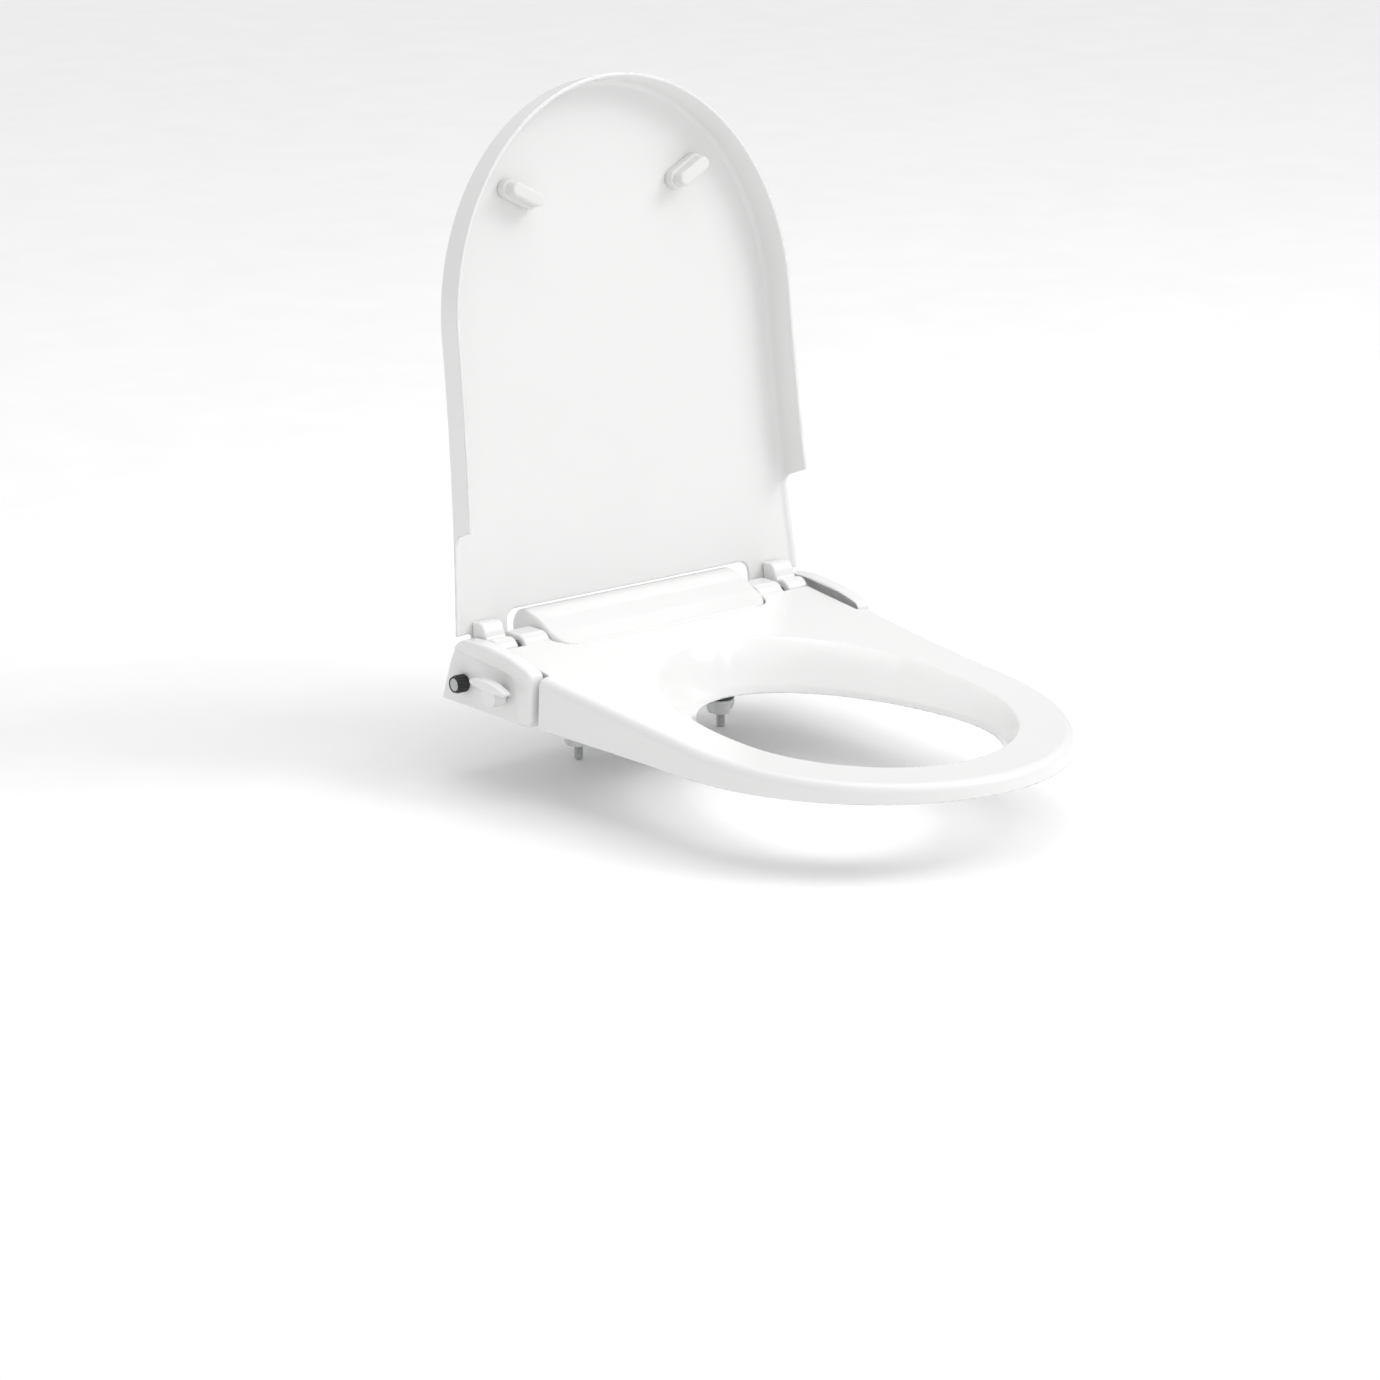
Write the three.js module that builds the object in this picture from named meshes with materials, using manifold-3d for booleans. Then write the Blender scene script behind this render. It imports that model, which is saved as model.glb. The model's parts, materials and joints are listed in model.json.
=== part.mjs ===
// A slim bidet seat that bolts onto a toilet bowl and washes with mains water pressure.
//
// Frame: X is the sitter's left to right seen from the front, -Y points to the front of the bowl, +Z is up.
// The origin is midway between the two bowl bolts, on the bowl's rim, straight under the hinge.
// The lid and the seat are drawn by two numbers: x across, and s, the distance forward of the hinge (s = -y).
// The lid is drawn lying flat, with its height measured from the hinge, and then leans back, open.

import * as THREE from 'three';
import { mergeVertices } from 'three/addons/utils/BufferGeometryUtils.js';
import Module from 'manifold-3d';

const wasm = await Module();
wasm.setup();

// ---- driving dimensions, millimetres and degrees ----

const FIT = 0.3; // gap between pieces that touch
const PLAY = 1.2; // gap between pieces that move past each other
const PLENTY = 400; // reaches past everything, for cutters

const HINGE_HEIGHT = 50;
const PIN_RADIUS = 4;
const PIN_PLAY = 0.35;

const LID_HALF_WIDTH = 178;
const LID_REAR_FLARE = 12; // how much wider each side is over the hinge
const LID_LENGTH = 464; // hinge to front edge
const LID_STRAIGHT = 260; // where the sides turn into the elliptical front
const LID_TOP = 27.5; // outer face above the hinge
const LID_WALL = 3.4;
const LID_SKIRT = 31; // depth of the skirt, outer face included
const LID_EDGE = 5; // depth of the lip beside the side covers
const LID_DRAFT = 3.5; // how far the skirt flares out
const LID_ROUND = 5;
const LID_NOTCH = 103; // where the skirt starts, forward of the hinge
const LID_NOTCH_SLOPE = 7;
const LID_REAR = 4;
const LID_CORNER_REAR = 14; // the corners stop short, above the side covers
const LID_OPEN = 96; // lean of the open lid, from lying flat
const LID_CLOSED = 4.9; // nose-down tilt of the closed lid
const LID_OVERRUN = 24; // the lid is drawn this much too long behind its rear edge, and cut to it

const COVER_INNER = LID_HALF_WIDTH - 8; // inner face of the side covers
const COVER_THICKNESS = 14;
const COVER_OUTER = COVER_INNER + COVER_THICKNESS;
const COVER_WALL = 2.5;
const COVER_BOTTOM = 3;
const COVER_FRONT = 76;
const COVER_REAR = 52;
const PANEL_DEPTH = 3; // sunken control area

const KNUCKLE_RADIUS = 11;
const KNUCKLE_WIDTH = 22;
const KNUCKLE_OUTER = COVER_INNER - 2;
const KNUCKLE_INNER = KNUCKLE_OUTER - KNUCKLE_WIDTH;

const EAR_OUTER = KNUCKLE_INNER - 6; // outer end of the seat's hinge ears
const EAR_WIDTH = 28;
const EAR_RADIUS = 11;
const EAR_BACK = 19; // how far the ear stays at full height behind the hinge
const BUSH_WALL = 1.6;

const HUMP_HALF_WIDTH = EAR_OUTER - EAR_WIDTH;
const HUMP_FRONT = 30;
const HUMP_REAR = 46;
const HUMP_RIDGE = 27; // how far the ridge is behind the hinge
const HUMP_ROUND = 20;
const HUMP_WALL = 2.8;

const HUMP_WINDOW_HALF = HUMP_HALF_WIDTH + 19; // opening in the lid for the hump
const HUMP_WINDOW_FRONT = HUMP_FRONT - 2;
const HUMP_WINDOW_ROUND = 10;

const SEAT_LENGTH = LID_LENGTH - 7;
const SEAT_INSET = 3.8; // seat edge inside the lid's lip
const SEAT_BOTTOM = 3;
const SEAT_REAR_HEIGHT = HINGE_HEIGHT + 6.4; // top of the seat over the hinge
const SEAT_FRONT_HEIGHT = 18;
const SEAT_WALL = 3.2;
const SEAT_ROUND = 7;
const SEAT_DRAFT = 2;
const SEAT_BETWEEN_COVERS = COVER_INNER - 3.5; // half-width between the side covers
const SEAT_REAR = -24.5; // rear end of the ears
const SEAT_UNDERCUT_FRONT = 70; // the rear of the seat is a thin slab up to here
const SEAT_UNDERCUT_HEIGHT = HINGE_HEIGHT - 16;

const OPENING_HALF_WIDTH = LID_HALF_WIDTH - 75;
const OPENING_REAR = 104;
const OPENING_WIDEST = LID_STRAIGHT + 24;
const OPENING_FRONT = SEAT_LENGTH - 55;
const OPENING_HEIGHT = 6.5; // height of the opening's edge
const OPENING_RIM = 14; // the seat is solid this far from the opening
const DISH_REAR = 20; // width of the dish's slope behind the opening, beside it and in front of it
const DISH_SIDE = 36;
const DISH_FRONT = 8;

const SEAT_BUMPER_LENGTH = 34;
const SEAT_BUMPER_WIDTH = 11;
const SEAT_BUMPER_REAR = [LID_HALF_WIDTH - 50, 190]; // x and s
const SEAT_BUMPER_FRONT_X = LID_HALF_WIDTH - 90;
const SEAT_BUMPER_FRONT_SHARE = 0.5513; // how far it is across the seat's front, from the opening to the rim
const LID_BUMPER_LENGTH = 40;
const LID_BUMPER_WIDTH = 17;
const LID_BUMPER_X = LID_HALF_WIDTH - 90;
const LID_BUMPER_S = LID_LENGTH - 92;
const LID_BUMPER_TURN = 28;
const LID_BUMPER_STEP = 9; // height of the broad lower tier

const TRAY_BOTTOM = 3.3;
const TRAY_TOP = 7.3;
const TRAY_FRONT = 62;
const TRAY_REAR = 42;

const BOLT_SPACING = 155;
const BOLT_RADIUS = 4;
const BOLT_HEAD_RADIUS = 9;
const BOLT_LENGTH = 61;
const PLATE_THICKNESS = 3;
const PLATE_HALF_WIDTH = 96;
const PLATE_HALF_DEPTH = 20;
const DECK_THICKNESS = 22; // the bowl's own thickness between plate and rubber cone
const CONE_HEIGHT = 11;
const WING_NUT_HEIGHT = 13;

const LEVER_Y = -35;
const LEVER_Z = 25;
const LEVER_FACE = COVER_OUTER + 17; // outer face of the paddle
const LEVER_THICKNESS = 9;
const LEVER_TAIL = 44; // reach of the tail from the spindle
const LEVER_TIP = 27;
const LEVER_HUB_RADIUS = 9.5;
const SPINDLE_RADIUS = 4.5;

const INLET_Y = 19;
const INLET_Z = 23;
const INLET_NUT_RADIUS = 7.8;
const INLET_NUT_FACE = COVER_OUTER + 9;
const NIPPLE_RADIUS = 5.5;
const NIPPLE_BORE = 3.2;
const VALVE_INNER = COVER_INNER - 30;
const VALVE_TOP = SEAT_UNDERCUT_HEIGHT - 2 * PLAY;
const HOSE_RADIUS = 3;

const NOZZLE_SLOPE = 22;
const NOZZLE_RADIUS = 6;
const NOZZLE_SPACING = 2 * NOZZLE_RADIUS + 8;
const NOZZLE_LENGTH = 68;
const NOZZLE_TIP_Y = -62;
const NOZZLE_TIP_Z = 10;
const HOUSING_WIDTH = NOZZLE_SPACING + 2 * NOZZLE_RADIUS + 10;
const HOUSING_HALF_HEIGHT = NOZZLE_RADIUS + 2;
const SHIELD_THICKNESS = 3;
const NOZZLE_CHANNEL_FRONT = 100; // the seat's underside is open over the nozzles up to here

const BUTTON_Y = 20;
const BUTTON_Z = 14;
const BUTTON_RADIUS = 7;
const BUTTON_PROUD = 4.5;

const SCREW_X = HUMP_HALF_WIDTH - 12;
const SCREW_ROWS = [-22, 37];
const SCREW_RADIUS = 1.8;
const SCREW_HEAD_RADIUS = 4;
const BRACKET_OUTER = HUMP_HALF_WIDTH - 6;
const BRACKET_INNER = BRACKET_OUTER - 7;
const BRACKET_CAP = PIN_RADIUS + 2; // bracket above the pin's middle
const LATCH_END = BRACKET_INNER - 1;
const DAMPER_RADIUS = 9;
const DAMPER_LENGTH = 38;

const ROUND = 20; // sides of a small cylinder
const NOSE_STEPS = 22; // steps round the elliptical front

// ---- materials ----

const plastic = (color, roughness) => new THREE.MeshStandardMaterial({ color, roughness, metalness: 0 });
const GLOSS_WHITE = plastic(0xf4f4f3, 0.22);
const INNER_WHITE = plastic(0xe9eae8, 0.45);
const PALE_GREY = plastic(0xb9bbbc, 0.4);
const BLACK = plastic(0x18191b, 0.4);
const RUBBER_WHITE = plastic(0xe6e6e3, 0.7);
const RUBBER_GREY = plastic(0x55585a, 0.85);
const HOSE_CLEAR = plastic(0xd5dade, 0.35);
const STEEL = new THREE.MeshStandardMaterial({ color: 0xb6b8ba, roughness: 0.3, metalness: 1 });

// ---- making, joining and cutting solids ----

function toSolid(geometry) {
  const bare = geometry.clone();
  for (const name of Object.keys(bare.attributes)) {
    if (name !== 'position') bare.deleteAttribute(name);
  }
  const merged = mergeVertices(bare, 1e-4);
  const vertProperties = new Float32Array(merged.attributes.position.array);
  const triVerts = new Uint32Array(merged.index.array);
  return new wasm.Manifold(new wasm.Mesh({ numProp: 3, vertProperties, triVerts }));
}

function toGeometry(manifold) {
  const { vertProperties, triVerts } = manifold.getMesh();
  const geometry = new THREE.BufferGeometry();
  geometry.setAttribute('position', new THREE.BufferAttribute(vertProperties, 3));
  geometry.setIndex(new THREE.BufferAttribute(triVerts, 1));
  return geometry;
}

function combine(operation, first, others) {
  let result = toSolid(first);
  for (const other of others) result = result[operation](toSolid(other));
  return toGeometry(result);
}
const join = (first, ...others) => combine('add', first, others);
const cut = (first, ...others) => combine('subtract', first, others);
const common = (first, ...others) => combine('intersect', first, others);

function block(x0, x1, y0, y1, z0, z1) {
  const geometry = new THREE.BoxGeometry(x1 - x0, y1 - y0, z1 - z0);
  return geometry.translate((x0 + x1) / 2, (y0 + y1) / 2, (z0 + z1) / 2);
}

// A shape from corners [a, b, radius], each corner rounded off by its radius.
function roundedShape(corners) {
  const shape = new THREE.Shape();
  corners.forEach(([a, b, radius = 0], index) => {
    const before = corners[(index + corners.length - 1) % corners.length];
    const after = corners[(index + 1) % corners.length];
    const corner = new THREE.Vector2(a, b);
    const back = new THREE.Vector2(before[0], before[1]).sub(corner);
    const ahead = new THREE.Vector2(after[0], after[1]).sub(corner);
    const trim = Math.min(radius, back.length() / 2, ahead.length() / 2);
    const start = corner.clone().addScaledVector(back.normalize(), trim);
    const end = corner.clone().addScaledVector(ahead.normalize(), trim);
    if (index === 0) shape.moveTo(start.x, start.y);
    else shape.lineTo(start.x, start.y);
    if (trim > 0) shape.quadraticCurveTo(a, b, end.x, end.y);
  });
  shape.closePath();
  return shape;
}

function extrude(shape, depth) {
  return new THREE.ExtrudeGeometry(shape, { depth, bevelEnabled: false, curveSegments: 5 });
}

// A side profile, corners [y, z, radius], as thick as from x0 to x1.
function sideways(corners, x0, x1) {
  const turn = new THREE.Matrix4().makeBasis(
    new THREE.Vector3(0, 1, 0), new THREE.Vector3(0, 0, 1), new THREE.Vector3(1, 0, 0));
  return extrude(roundedShape(corners), x1 - x0).applyMatrix4(turn).translate(x0, 0, 0);
}

// A plan, corners [x, y, radius], as high as from z0 to z1.
const upright = (corners, z0, z1) => extrude(roundedShape(corners), z1 - z0).translate(0, 0, z0);

// A cylinder along X, between two x values.
function axle(radius, x0, x1, y, z, sides = ROUND) {
  const geometry = new THREE.CylinderGeometry(radius, radius, Math.abs(x1 - x0), sides);
  return geometry.rotateZ(Math.PI / 2).translate((x0 + x1) / 2, y, z);
}

// A cylinder along Z.
function post(radius, z0, z1, x, y, sides = ROUND) {
  const geometry = new THREE.CylinderGeometry(radius, radius, z1 - z0, sides);
  return geometry.rotateX(Math.PI / 2).translate(x, y, (z0 + z1) / 2);
}

// A turned piece round Z from a profile of [radius, z], listed upwards along its outside.
function turned(profile, sides = ROUND) {
  const points = profile.map(([radius, z]) => new THREE.Vector2(radius, z));
  return new THREE.LatheGeometry(points, sides).rotateX(Math.PI / 2);
}

// A tube along a smooth curve through the points.
function tube(points, radius) {
  const path = new THREE.CatmullRomCurve3(points.map((point) => new THREE.Vector3(...point)));
  const section = new THREE.Shape();
  section.absarc(0, 0, radius, 0, 2 * Math.PI, false);
  const options = { extrudePath: path, steps: 22, bevelEnabled: false, curveSegments: 4 };
  return new THREE.ExtrudeGeometry(section, options);
}

// A closed skin over rings of equal length. A ring-shaped body joins its last ring to its first;
// any other body is closed with a fan at each end.
function loft(rings, ringShaped) {
  const count = rings[0].length;
  const positions = rings.flat(2);
  const index = [];
  const bands = ringShaped ? rings.length : rings.length - 1;
  for (let band = 0; band < bands; band += 1) {
    const next = (band + 1) % rings.length;
    for (let i = 0; i < count; i += 1) {
      const j = (i + 1) % count;
      const [a, b] = [band * count + i, band * count + j];
      const [c, d] = [next * count + i, next * count + j];
      index.push(a, b, d, a, d, c);
    }
  }
  if (!ringShaped) {
    for (const [ring, first, flip] of [[0, 0, true], [rings.length - 1, (rings.length - 1) * count, false]]) {
      const centre = positions.length / 3;
      positions.push(...[0, 1, 2].map((k) => rings[ring].reduce((sum, p) => sum + p[k], 0) / count));
      for (let i = 0; i < count; i += 1) {
        const pair = [first + i, first + ((i + 1) % count)];
        if (flip) pair.reverse();
        index.push(centre, ...pair);
      }
    }
  }
  const geometry = new THREE.BufferGeometry();
  geometry.setAttribute('position', new THREE.Float32BufferAttribute(positions, 3));
  geometry.setIndex(signedVolume(positions, index) < 0 ? index.reverse() : index);
  return geometry;
}

function signedVolume(positions, index) {
  const corner = (k) => new THREE.Vector3().fromArray(positions, 3 * index[k]);
  let volume = 0;
  for (let k = 0; k < index.length; k += 3) {
    volume += corner(k).dot(corner(k + 1).cross(corner(k + 2))) / 6;
  }
  return volume;
}

function mirrorX(geometry) {
  const mirrored = geometry.index ? geometry.toNonIndexed() : geometry.clone();
  for (const name of Object.keys(mirrored.attributes)) {
    if (name !== 'position') mirrored.deleteAttribute(name);
  }
  const merged = mergeVertices(mirrored.scale(-1, 1, 1), 1e-5);
  merged.setIndex([...merged.index.array].reverse());
  return merged;
}

const group = new THREE.Group();
function add(name, geometry, material, parent = group) {
  const mesh = new THREE.Mesh(geometry, material);
  mesh.name = name;
  parent.add(mesh);
}

const SIDES = [['left', -1], ['right', 1]];
// A piece drawn on the +X side goes to either side.
const onSide = (geometry, sign) => (sign > 0 ? geometry : mirrorX(geometry));

// ---- outline shared by the lid and the seat ----

// Half-width at distance s, on the straight part of the sides.
function halfWidth(s) {
  const back = (LID_STRAIGHT - s) / LID_STRAIGHT;
  return LID_HALF_WIDTH + LID_REAR_FLARE * back ** 2;
}

// Points [x, s] from the right rear corner round the front to the left rear corner.
function outline(inset, length, stations) {
  const right = stations.map((s) => [halfWidth(s) - inset, s]);
  const nose = [];
  for (let step = 1; step < NOSE_STEPS; step += 1) {
    const angle = (Math.PI * step) / NOSE_STEPS;
    const reach = length - LID_STRAIGHT - inset;
    nose.push([(LID_HALF_WIDTH - inset) * Math.cos(angle), LID_STRAIGHT + reach * Math.sin(angle)]);
  }
  const left = right.map(([x, s]) => [-x, s]).reverse();
  return [...right, ...nose, ...left];
}

// ---- lid ----

const lidInner = LID_TOP - LID_WALL; // inner face above the hinge

function skirtDepth(s) {
  const start = LID_NOTCH - LID_NOTCH_SLOPE;
  const share = THREE.MathUtils.clamp((s - start) / LID_NOTCH_SLOPE, 0, 1);
  return LID_EDGE + (LID_SKIRT - LID_EDGE) * share;
}

function lidShell() {
  const stations = [LID_REAR - LID_OVERRUN, LID_NOTCH / 2, LID_NOTCH - LID_NOTCH_SLOPE, LID_NOTCH,
    (LID_NOTCH + LID_STRAIGHT) / 2, LID_STRAIGHT];
  const ring = (inset, height) => outline(inset, LID_LENGTH, stations).map(([x, s]) => [x, -s, height(s)]);
  const level = (height) => () => height;
  const lip = (s) => LID_TOP - skirtDepth(s);
  const shell = loft([
    ring(LID_DRAFT + LID_ROUND, level(LID_TOP)),
    ring(LID_DRAFT + LID_ROUND / 3, level(LID_TOP - LID_ROUND / 4)),
    ring(LID_DRAFT, level(LID_TOP - LID_EDGE + 1)),
    ring(0, lip),
    ring(LID_WALL, lip),
    ring(LID_DRAFT + LID_WALL, level(lidInner - 0.6)),
    ring(LID_DRAFT + LID_WALL + LID_ROUND, level(lidInner)),
  ], false);
  const window = upright([
    [-HUMP_WINDOW_HALF, PLENTY], [-HUMP_WINDOW_HALF, -HUMP_WINDOW_FRONT, HUMP_WINDOW_ROUND],
    [HUMP_WINDOW_HALF, -HUMP_WINDOW_FRONT, HUMP_WINDOW_ROUND], [HUMP_WINDOW_HALF, PLENTY],
  ], -PLENTY, PLENTY);
  const behind = block(-PLENTY, PLENTY, -LID_REAR, PLENTY, -PLENTY, PLENTY);
  const corner = block(KNUCKLE_OUTER, PLENTY, -LID_CORNER_REAR, PLENTY, -PLENTY, PLENTY);
  return cut(shell, window, behind, corner, mirrorX(corner));
}

function lidKnuckle() {
  const root = lidInner - FIT;
  const arm = sideways([
    [-24, root], [-24, 12, 3], [-20, 8.2, 3], [-8, 7.4], [0, 0], [9.2, 5.5], [-3, root],
  ], KNUCKLE_INNER, KNUCKLE_OUTER);
  const barrel = axle(KNUCKLE_RADIUS, KNUCKLE_INNER, KNUCKLE_OUTER, 0, 0, 24);
  const bore = axle(PIN_RADIUS + PIN_PLAY, KNUCKLE_INNER - 1, KNUCKLE_OUTER + 1, 0, 0);
  return cut(join(barrel, arm), bore);
}

// The height of the lid's rubber pads is what is left over the seat when the lid is closed.
function lidBumper() {
  const tilt = THREE.MathUtils.degToRad(LID_CLOSED);
  const seatTop = seatCrest(LID_BUMPER_S) - HINGE_HEIGHT;
  const foot = (seatTop + LID_BUMPER_S * Math.sin(tilt)) / Math.cos(tilt) + PLAY;
  const pad = (grow, low, high) => {
    const [a, b] = [LID_BUMPER_LENGTH / 2 - grow, LID_BUMPER_WIDTH / 2 - grow];
    return upright([[-a, -b, b], [a, -b, b], [a, b, b], [-a, b, b]], low, high);
  };
  const top = lidInner - FIT;
  const pads = join(pad(0, top - LID_BUMPER_STEP, top), pad(2.5, foot, top));
  return pads.rotateZ(THREE.MathUtils.degToRad(-LID_BUMPER_TURN)).translate(LID_BUMPER_X, -LID_BUMPER_S, 0);
}

// ---- seat ----

const seatReach = SEAT_LENGTH + SEAT_INSET; // so that the outline less its inset ends at the seat's length

// Height of the seat's top at distance s, before the dish.
function seatCrest(s) {
  const share = Math.max(1 - s / SEAT_LENGTH, 0) ** 1.5;
  return SEAT_FRONT_HEIGHT + (SEAT_REAR_HEIGHT - SEAT_FRONT_HEIGHT) * share;
}

// The opening's edge in the direction of the point [x, s] seen from its widest line.
function openingEdge(x, s) {
  const reach = s > OPENING_WIDEST ? OPENING_FRONT - OPENING_WIDEST : OPENING_WIDEST - OPENING_REAR;
  const scale = 1 / Math.hypot(x / OPENING_HALF_WIDTH, (s - OPENING_WIDEST) / reach);
  return [x * scale, OPENING_WIDEST + (s - OPENING_WIDEST) * scale];
}

// Width of the dish's slope beside the point [x, s] of the opening's edge.
function dishWidth(x, s) {
  const { lerp, clamp } = THREE.MathUtils;
  const behind = lerp(DISH_REAR, DISH_SIDE, Math.min(Math.abs(x) / OPENING_HALF_WIDTH, 1));
  const start = lerp(OPENING_REAR, OPENING_FRONT, 0.35);
  return lerp(behind, DISH_FRONT, clamp((s - start) / (OPENING_FRONT - start), 0, 1));
}

// Height of the seat's top at distance s, at a share of the dish's slope from the opening's edge.
function seatTopHeight(s, share) {
  const crest = seatCrest(s);
  return crest - (crest - OPENING_HEIGHT) * (1 - THREE.MathUtils.clamp(share, 0, 1)) ** 1.25;
}

// Rings across the seat's band: the same section, swept round the opening.
function seatRings(section) {
  const rear = SEAT_REAR;
  const stations = [rear, 20, SEAT_UNDERCUT_FRONT, 110, 150, 205, LID_STRAIGHT];
  const round = outline(SEAT_INSET, seatReach, stations);
  for (let step = 1; step < 10; step += 1) {
    round.push([(halfWidth(rear) - SEAT_INSET) * (step / 5 - 1), rear]);
  }
  return round.map(([x, s]) => {
    const [openX, openS] = openingEdge(x, s);
    const width = Math.hypot(x - openX, s - openS);
    return section(width, dishWidth(openX, openS)).map(([fromEdge, height]) => {
      const share = fromEdge / width;
      const px = x + (openX - x) * share;
      const ps = s + (openS - s) * share;
      return [px, -ps, typeof height === 'function' ? height(ps) : height];
    });
  });
}

function seatSection(width, slope) {
  const dish = Math.min(slope, width - SEAT_DRAFT - SEAT_ROUND - 1);
  const steps = [1, 0.8, 0.6, 0.4, 0.2, 0.06];
  return [
    [0, SEAT_BOTTOM],
    [SEAT_DRAFT, (s) => seatCrest(s) - SEAT_ROUND],
    [SEAT_DRAFT + SEAT_ROUND * 0.3, (s) => seatCrest(s) - SEAT_ROUND * 0.3],
    [SEAT_DRAFT + SEAT_ROUND, seatCrest],
    ...steps.map((share) => [width - dish * share, (s) => seatTopHeight(s, share)]),
    [width, OPENING_HEIGHT],
    [width, SEAT_BOTTOM],
  ];
}

function hollowSection(width, slope) {
  const wall = SEAT_WALL;
  const flat = Math.max(slope, OPENING_RIM) + 6;
  const roof = (fromOpening) => (s) => seatTopHeight(s, fromOpening / slope - 0.1) - wall;
  return [
    [SEAT_DRAFT + wall, -1],
    [SEAT_DRAFT + wall, (s) => seatCrest(s) - SEAT_ROUND - wall],
    [SEAT_DRAFT + SEAT_ROUND + wall, (s) => seatCrest(s) - wall - 1],
    [width - flat, roof(flat)],
    [width - (flat + OPENING_RIM) / 2, roof((flat + OPENING_RIM) / 2)],
    [width - OPENING_RIM, roof(OPENING_RIM)],
    [width - OPENING_RIM, -1],
  ];
}

const NOZZLE_CHANNEL_HALF = HOUSING_WIDTH / 2 + 18;

// Where the seat is hollow: ahead of the side covers, and clear of the nozzle channel.
function hollowZone(shrink) {
  const front = block(-PLENTY, PLENTY, -PLENTY * 2, -COVER_FRONT - 12 - shrink, -PLENTY, PLENTY);
  const reach = OPENING_REAR + 16 + SEAT_WALL + shrink;
  const half = NOZZLE_CHANNEL_HALF + SEAT_WALL + shrink;
  return cut(front, block(-half, half, -reach, PLENTY, -PLENTY * 2, PLENTY * 2));
}

function seatTop() {
  const body = loft(seatRings(seatSection), true);
  const hollow = common(loft(seatRings(hollowSection), true), hollowZone(0));
  const humpGap = upright([
    [-HUMP_HALF_WIDTH - PLAY, PLENTY], [-HUMP_HALF_WIDTH - PLAY, -HUMP_FRONT - PLAY, HUMP_ROUND + PLAY],
    [HUMP_HALF_WIDTH + PLAY, -HUMP_FRONT - PLAY, HUMP_ROUND + PLAY], [HUMP_HALF_WIDTH + PLAY, PLENTY],
  ], -PLENTY, PLENTY);
  const [hinge, ear, front] = [HINGE_HEIGHT, EAR_RADIUS, SEAT_UNDERCUT_FRONT];
  const behind = -SEAT_REAR;
  const underneath = sideways([
    [PLENTY, -PLENTY], [-front, -PLENTY], [-front, SEAT_UNDERCUT_HEIGHT, 5],
    [-ear - 2, SEAT_UNDERCUT_HEIGHT, 3], [-ear + 3, hinge - ear, 3], [behind - 9, hinge - ear + 2, 5],
    [behind, hinge - 3, 3], [behind, hinge], [PLENTY, hinge],
  ], -PLENTY, PLENTY);
  const behindTop = sideways([
    [PLENTY, PLENTY], [3, PLENTY], [3, SEAT_REAR_HEIGHT, 2], [behind - 8, SEAT_REAR_HEIGHT - 1, 5],
    [behind, hinge + 1, 2], [behind, hinge - 0.5], [PLENTY, hinge - 0.5],
  ], -PLENTY, PLENTY);
  const channel = sideways([
    [-front + 2, -PLENTY], [-NOZZLE_CHANNEL_FRONT, -PLENTY], [-NOZZLE_CHANNEL_FRONT, SEAT_BOTTOM + 4.2],
    [-front - 22, SEAT_BOTTOM + 4.2, 6], [-front, SEAT_UNDERCUT_HEIGHT - 9, 4], [-front + 2, SEAT_UNDERCUT_HEIGHT - 8],
  ], -NOZZLE_CHANNEL_HALF, NOZZLE_CHANNEL_HALF);
  const slot = KNUCKLE_RADIUS + PLAY;
  const sideCuts = join(
    block(SEAT_BETWEEN_COVERS, PLENTY, -COVER_FRONT - 3, PLENTY, -PLENTY, PLENTY),
    block(EAR_OUTER, PLENTY, 0, PLENTY, -PLENTY, PLENTY),
    axle(slot, EAR_OUTER, PLENTY, 0, hinge, 24));
  const bore = axle(PIN_RADIUS + PIN_PLAY + BUSH_WALL + FIT, -PLENTY, PLENTY, 0, hinge);
  const boss = join(
    axle(EAR_RADIUS, HUMP_HALF_WIDTH + PLAY, EAR_OUTER, 0, hinge, 24),
    sideways([
      [0, hinge - 2], [0, hinge + ear], [EAR_BACK, hinge + ear, 3], [EAR_BACK, hinge - 2],
    ], HUMP_HALF_WIDTH + PLAY, EAR_OUTER));
  const ring = cut(body, hollow, humpGap, underneath, behindTop, channel, sideCuts, mirrorX(sideCuts));
  return cut(join(ring, boss, mirrorX(boss)), bore);
}

function seatUnder() {
  const gap = 2 * FIT; // measured along the rings, which cross the walls at a slant
  const wall = SEAT_DRAFT + SEAT_WALL + gap;
  const plate = (width) => [
    [wall, SEAT_BOTTOM + 0.6], [wall, SEAT_BOTTOM + 3.4],
    [width - OPENING_RIM - gap, SEAT_BOTTOM + 3.4], [width - OPENING_RIM - gap, SEAT_BOTTOM + 0.6],
  ];
  return common(loft(seatRings(plate), true), hollowZone(FIT));
}

function frontBumperPlace() {
  const x = SEAT_BUMPER_FRONT_X;
  const along = (widest, front, halfWide) => widest + (front - widest) * Math.sqrt(1 - (x / halfWide) ** 2);
  const edge = along(OPENING_WIDEST, OPENING_FRONT, OPENING_HALF_WIDTH);
  const rim = along(LID_STRAIGHT, SEAT_LENGTH, LID_HALF_WIDTH - SEAT_INSET);
  return [x, THREE.MathUtils.lerp(edge, rim, SEAT_BUMPER_FRONT_SHARE)];
}

function seatBumper(x, s) {
  const [a, b] = [SEAT_BUMPER_WIDTH / 2, SEAT_BUMPER_LENGTH / 2];
  const pad = upright([[-a, -b, a], [a, -b, a], [a, b, a], [-a, b, a]], 0, SEAT_BOTTOM + 0.6 - FIT);
  const turn = Math.atan2(s - LID_STRAIGHT, x) * (s > LID_STRAIGHT ? -0.8 : 0);
  return pad.rotateZ(turn).translate(x, -s, 0);
}

// ---- base ----

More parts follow.
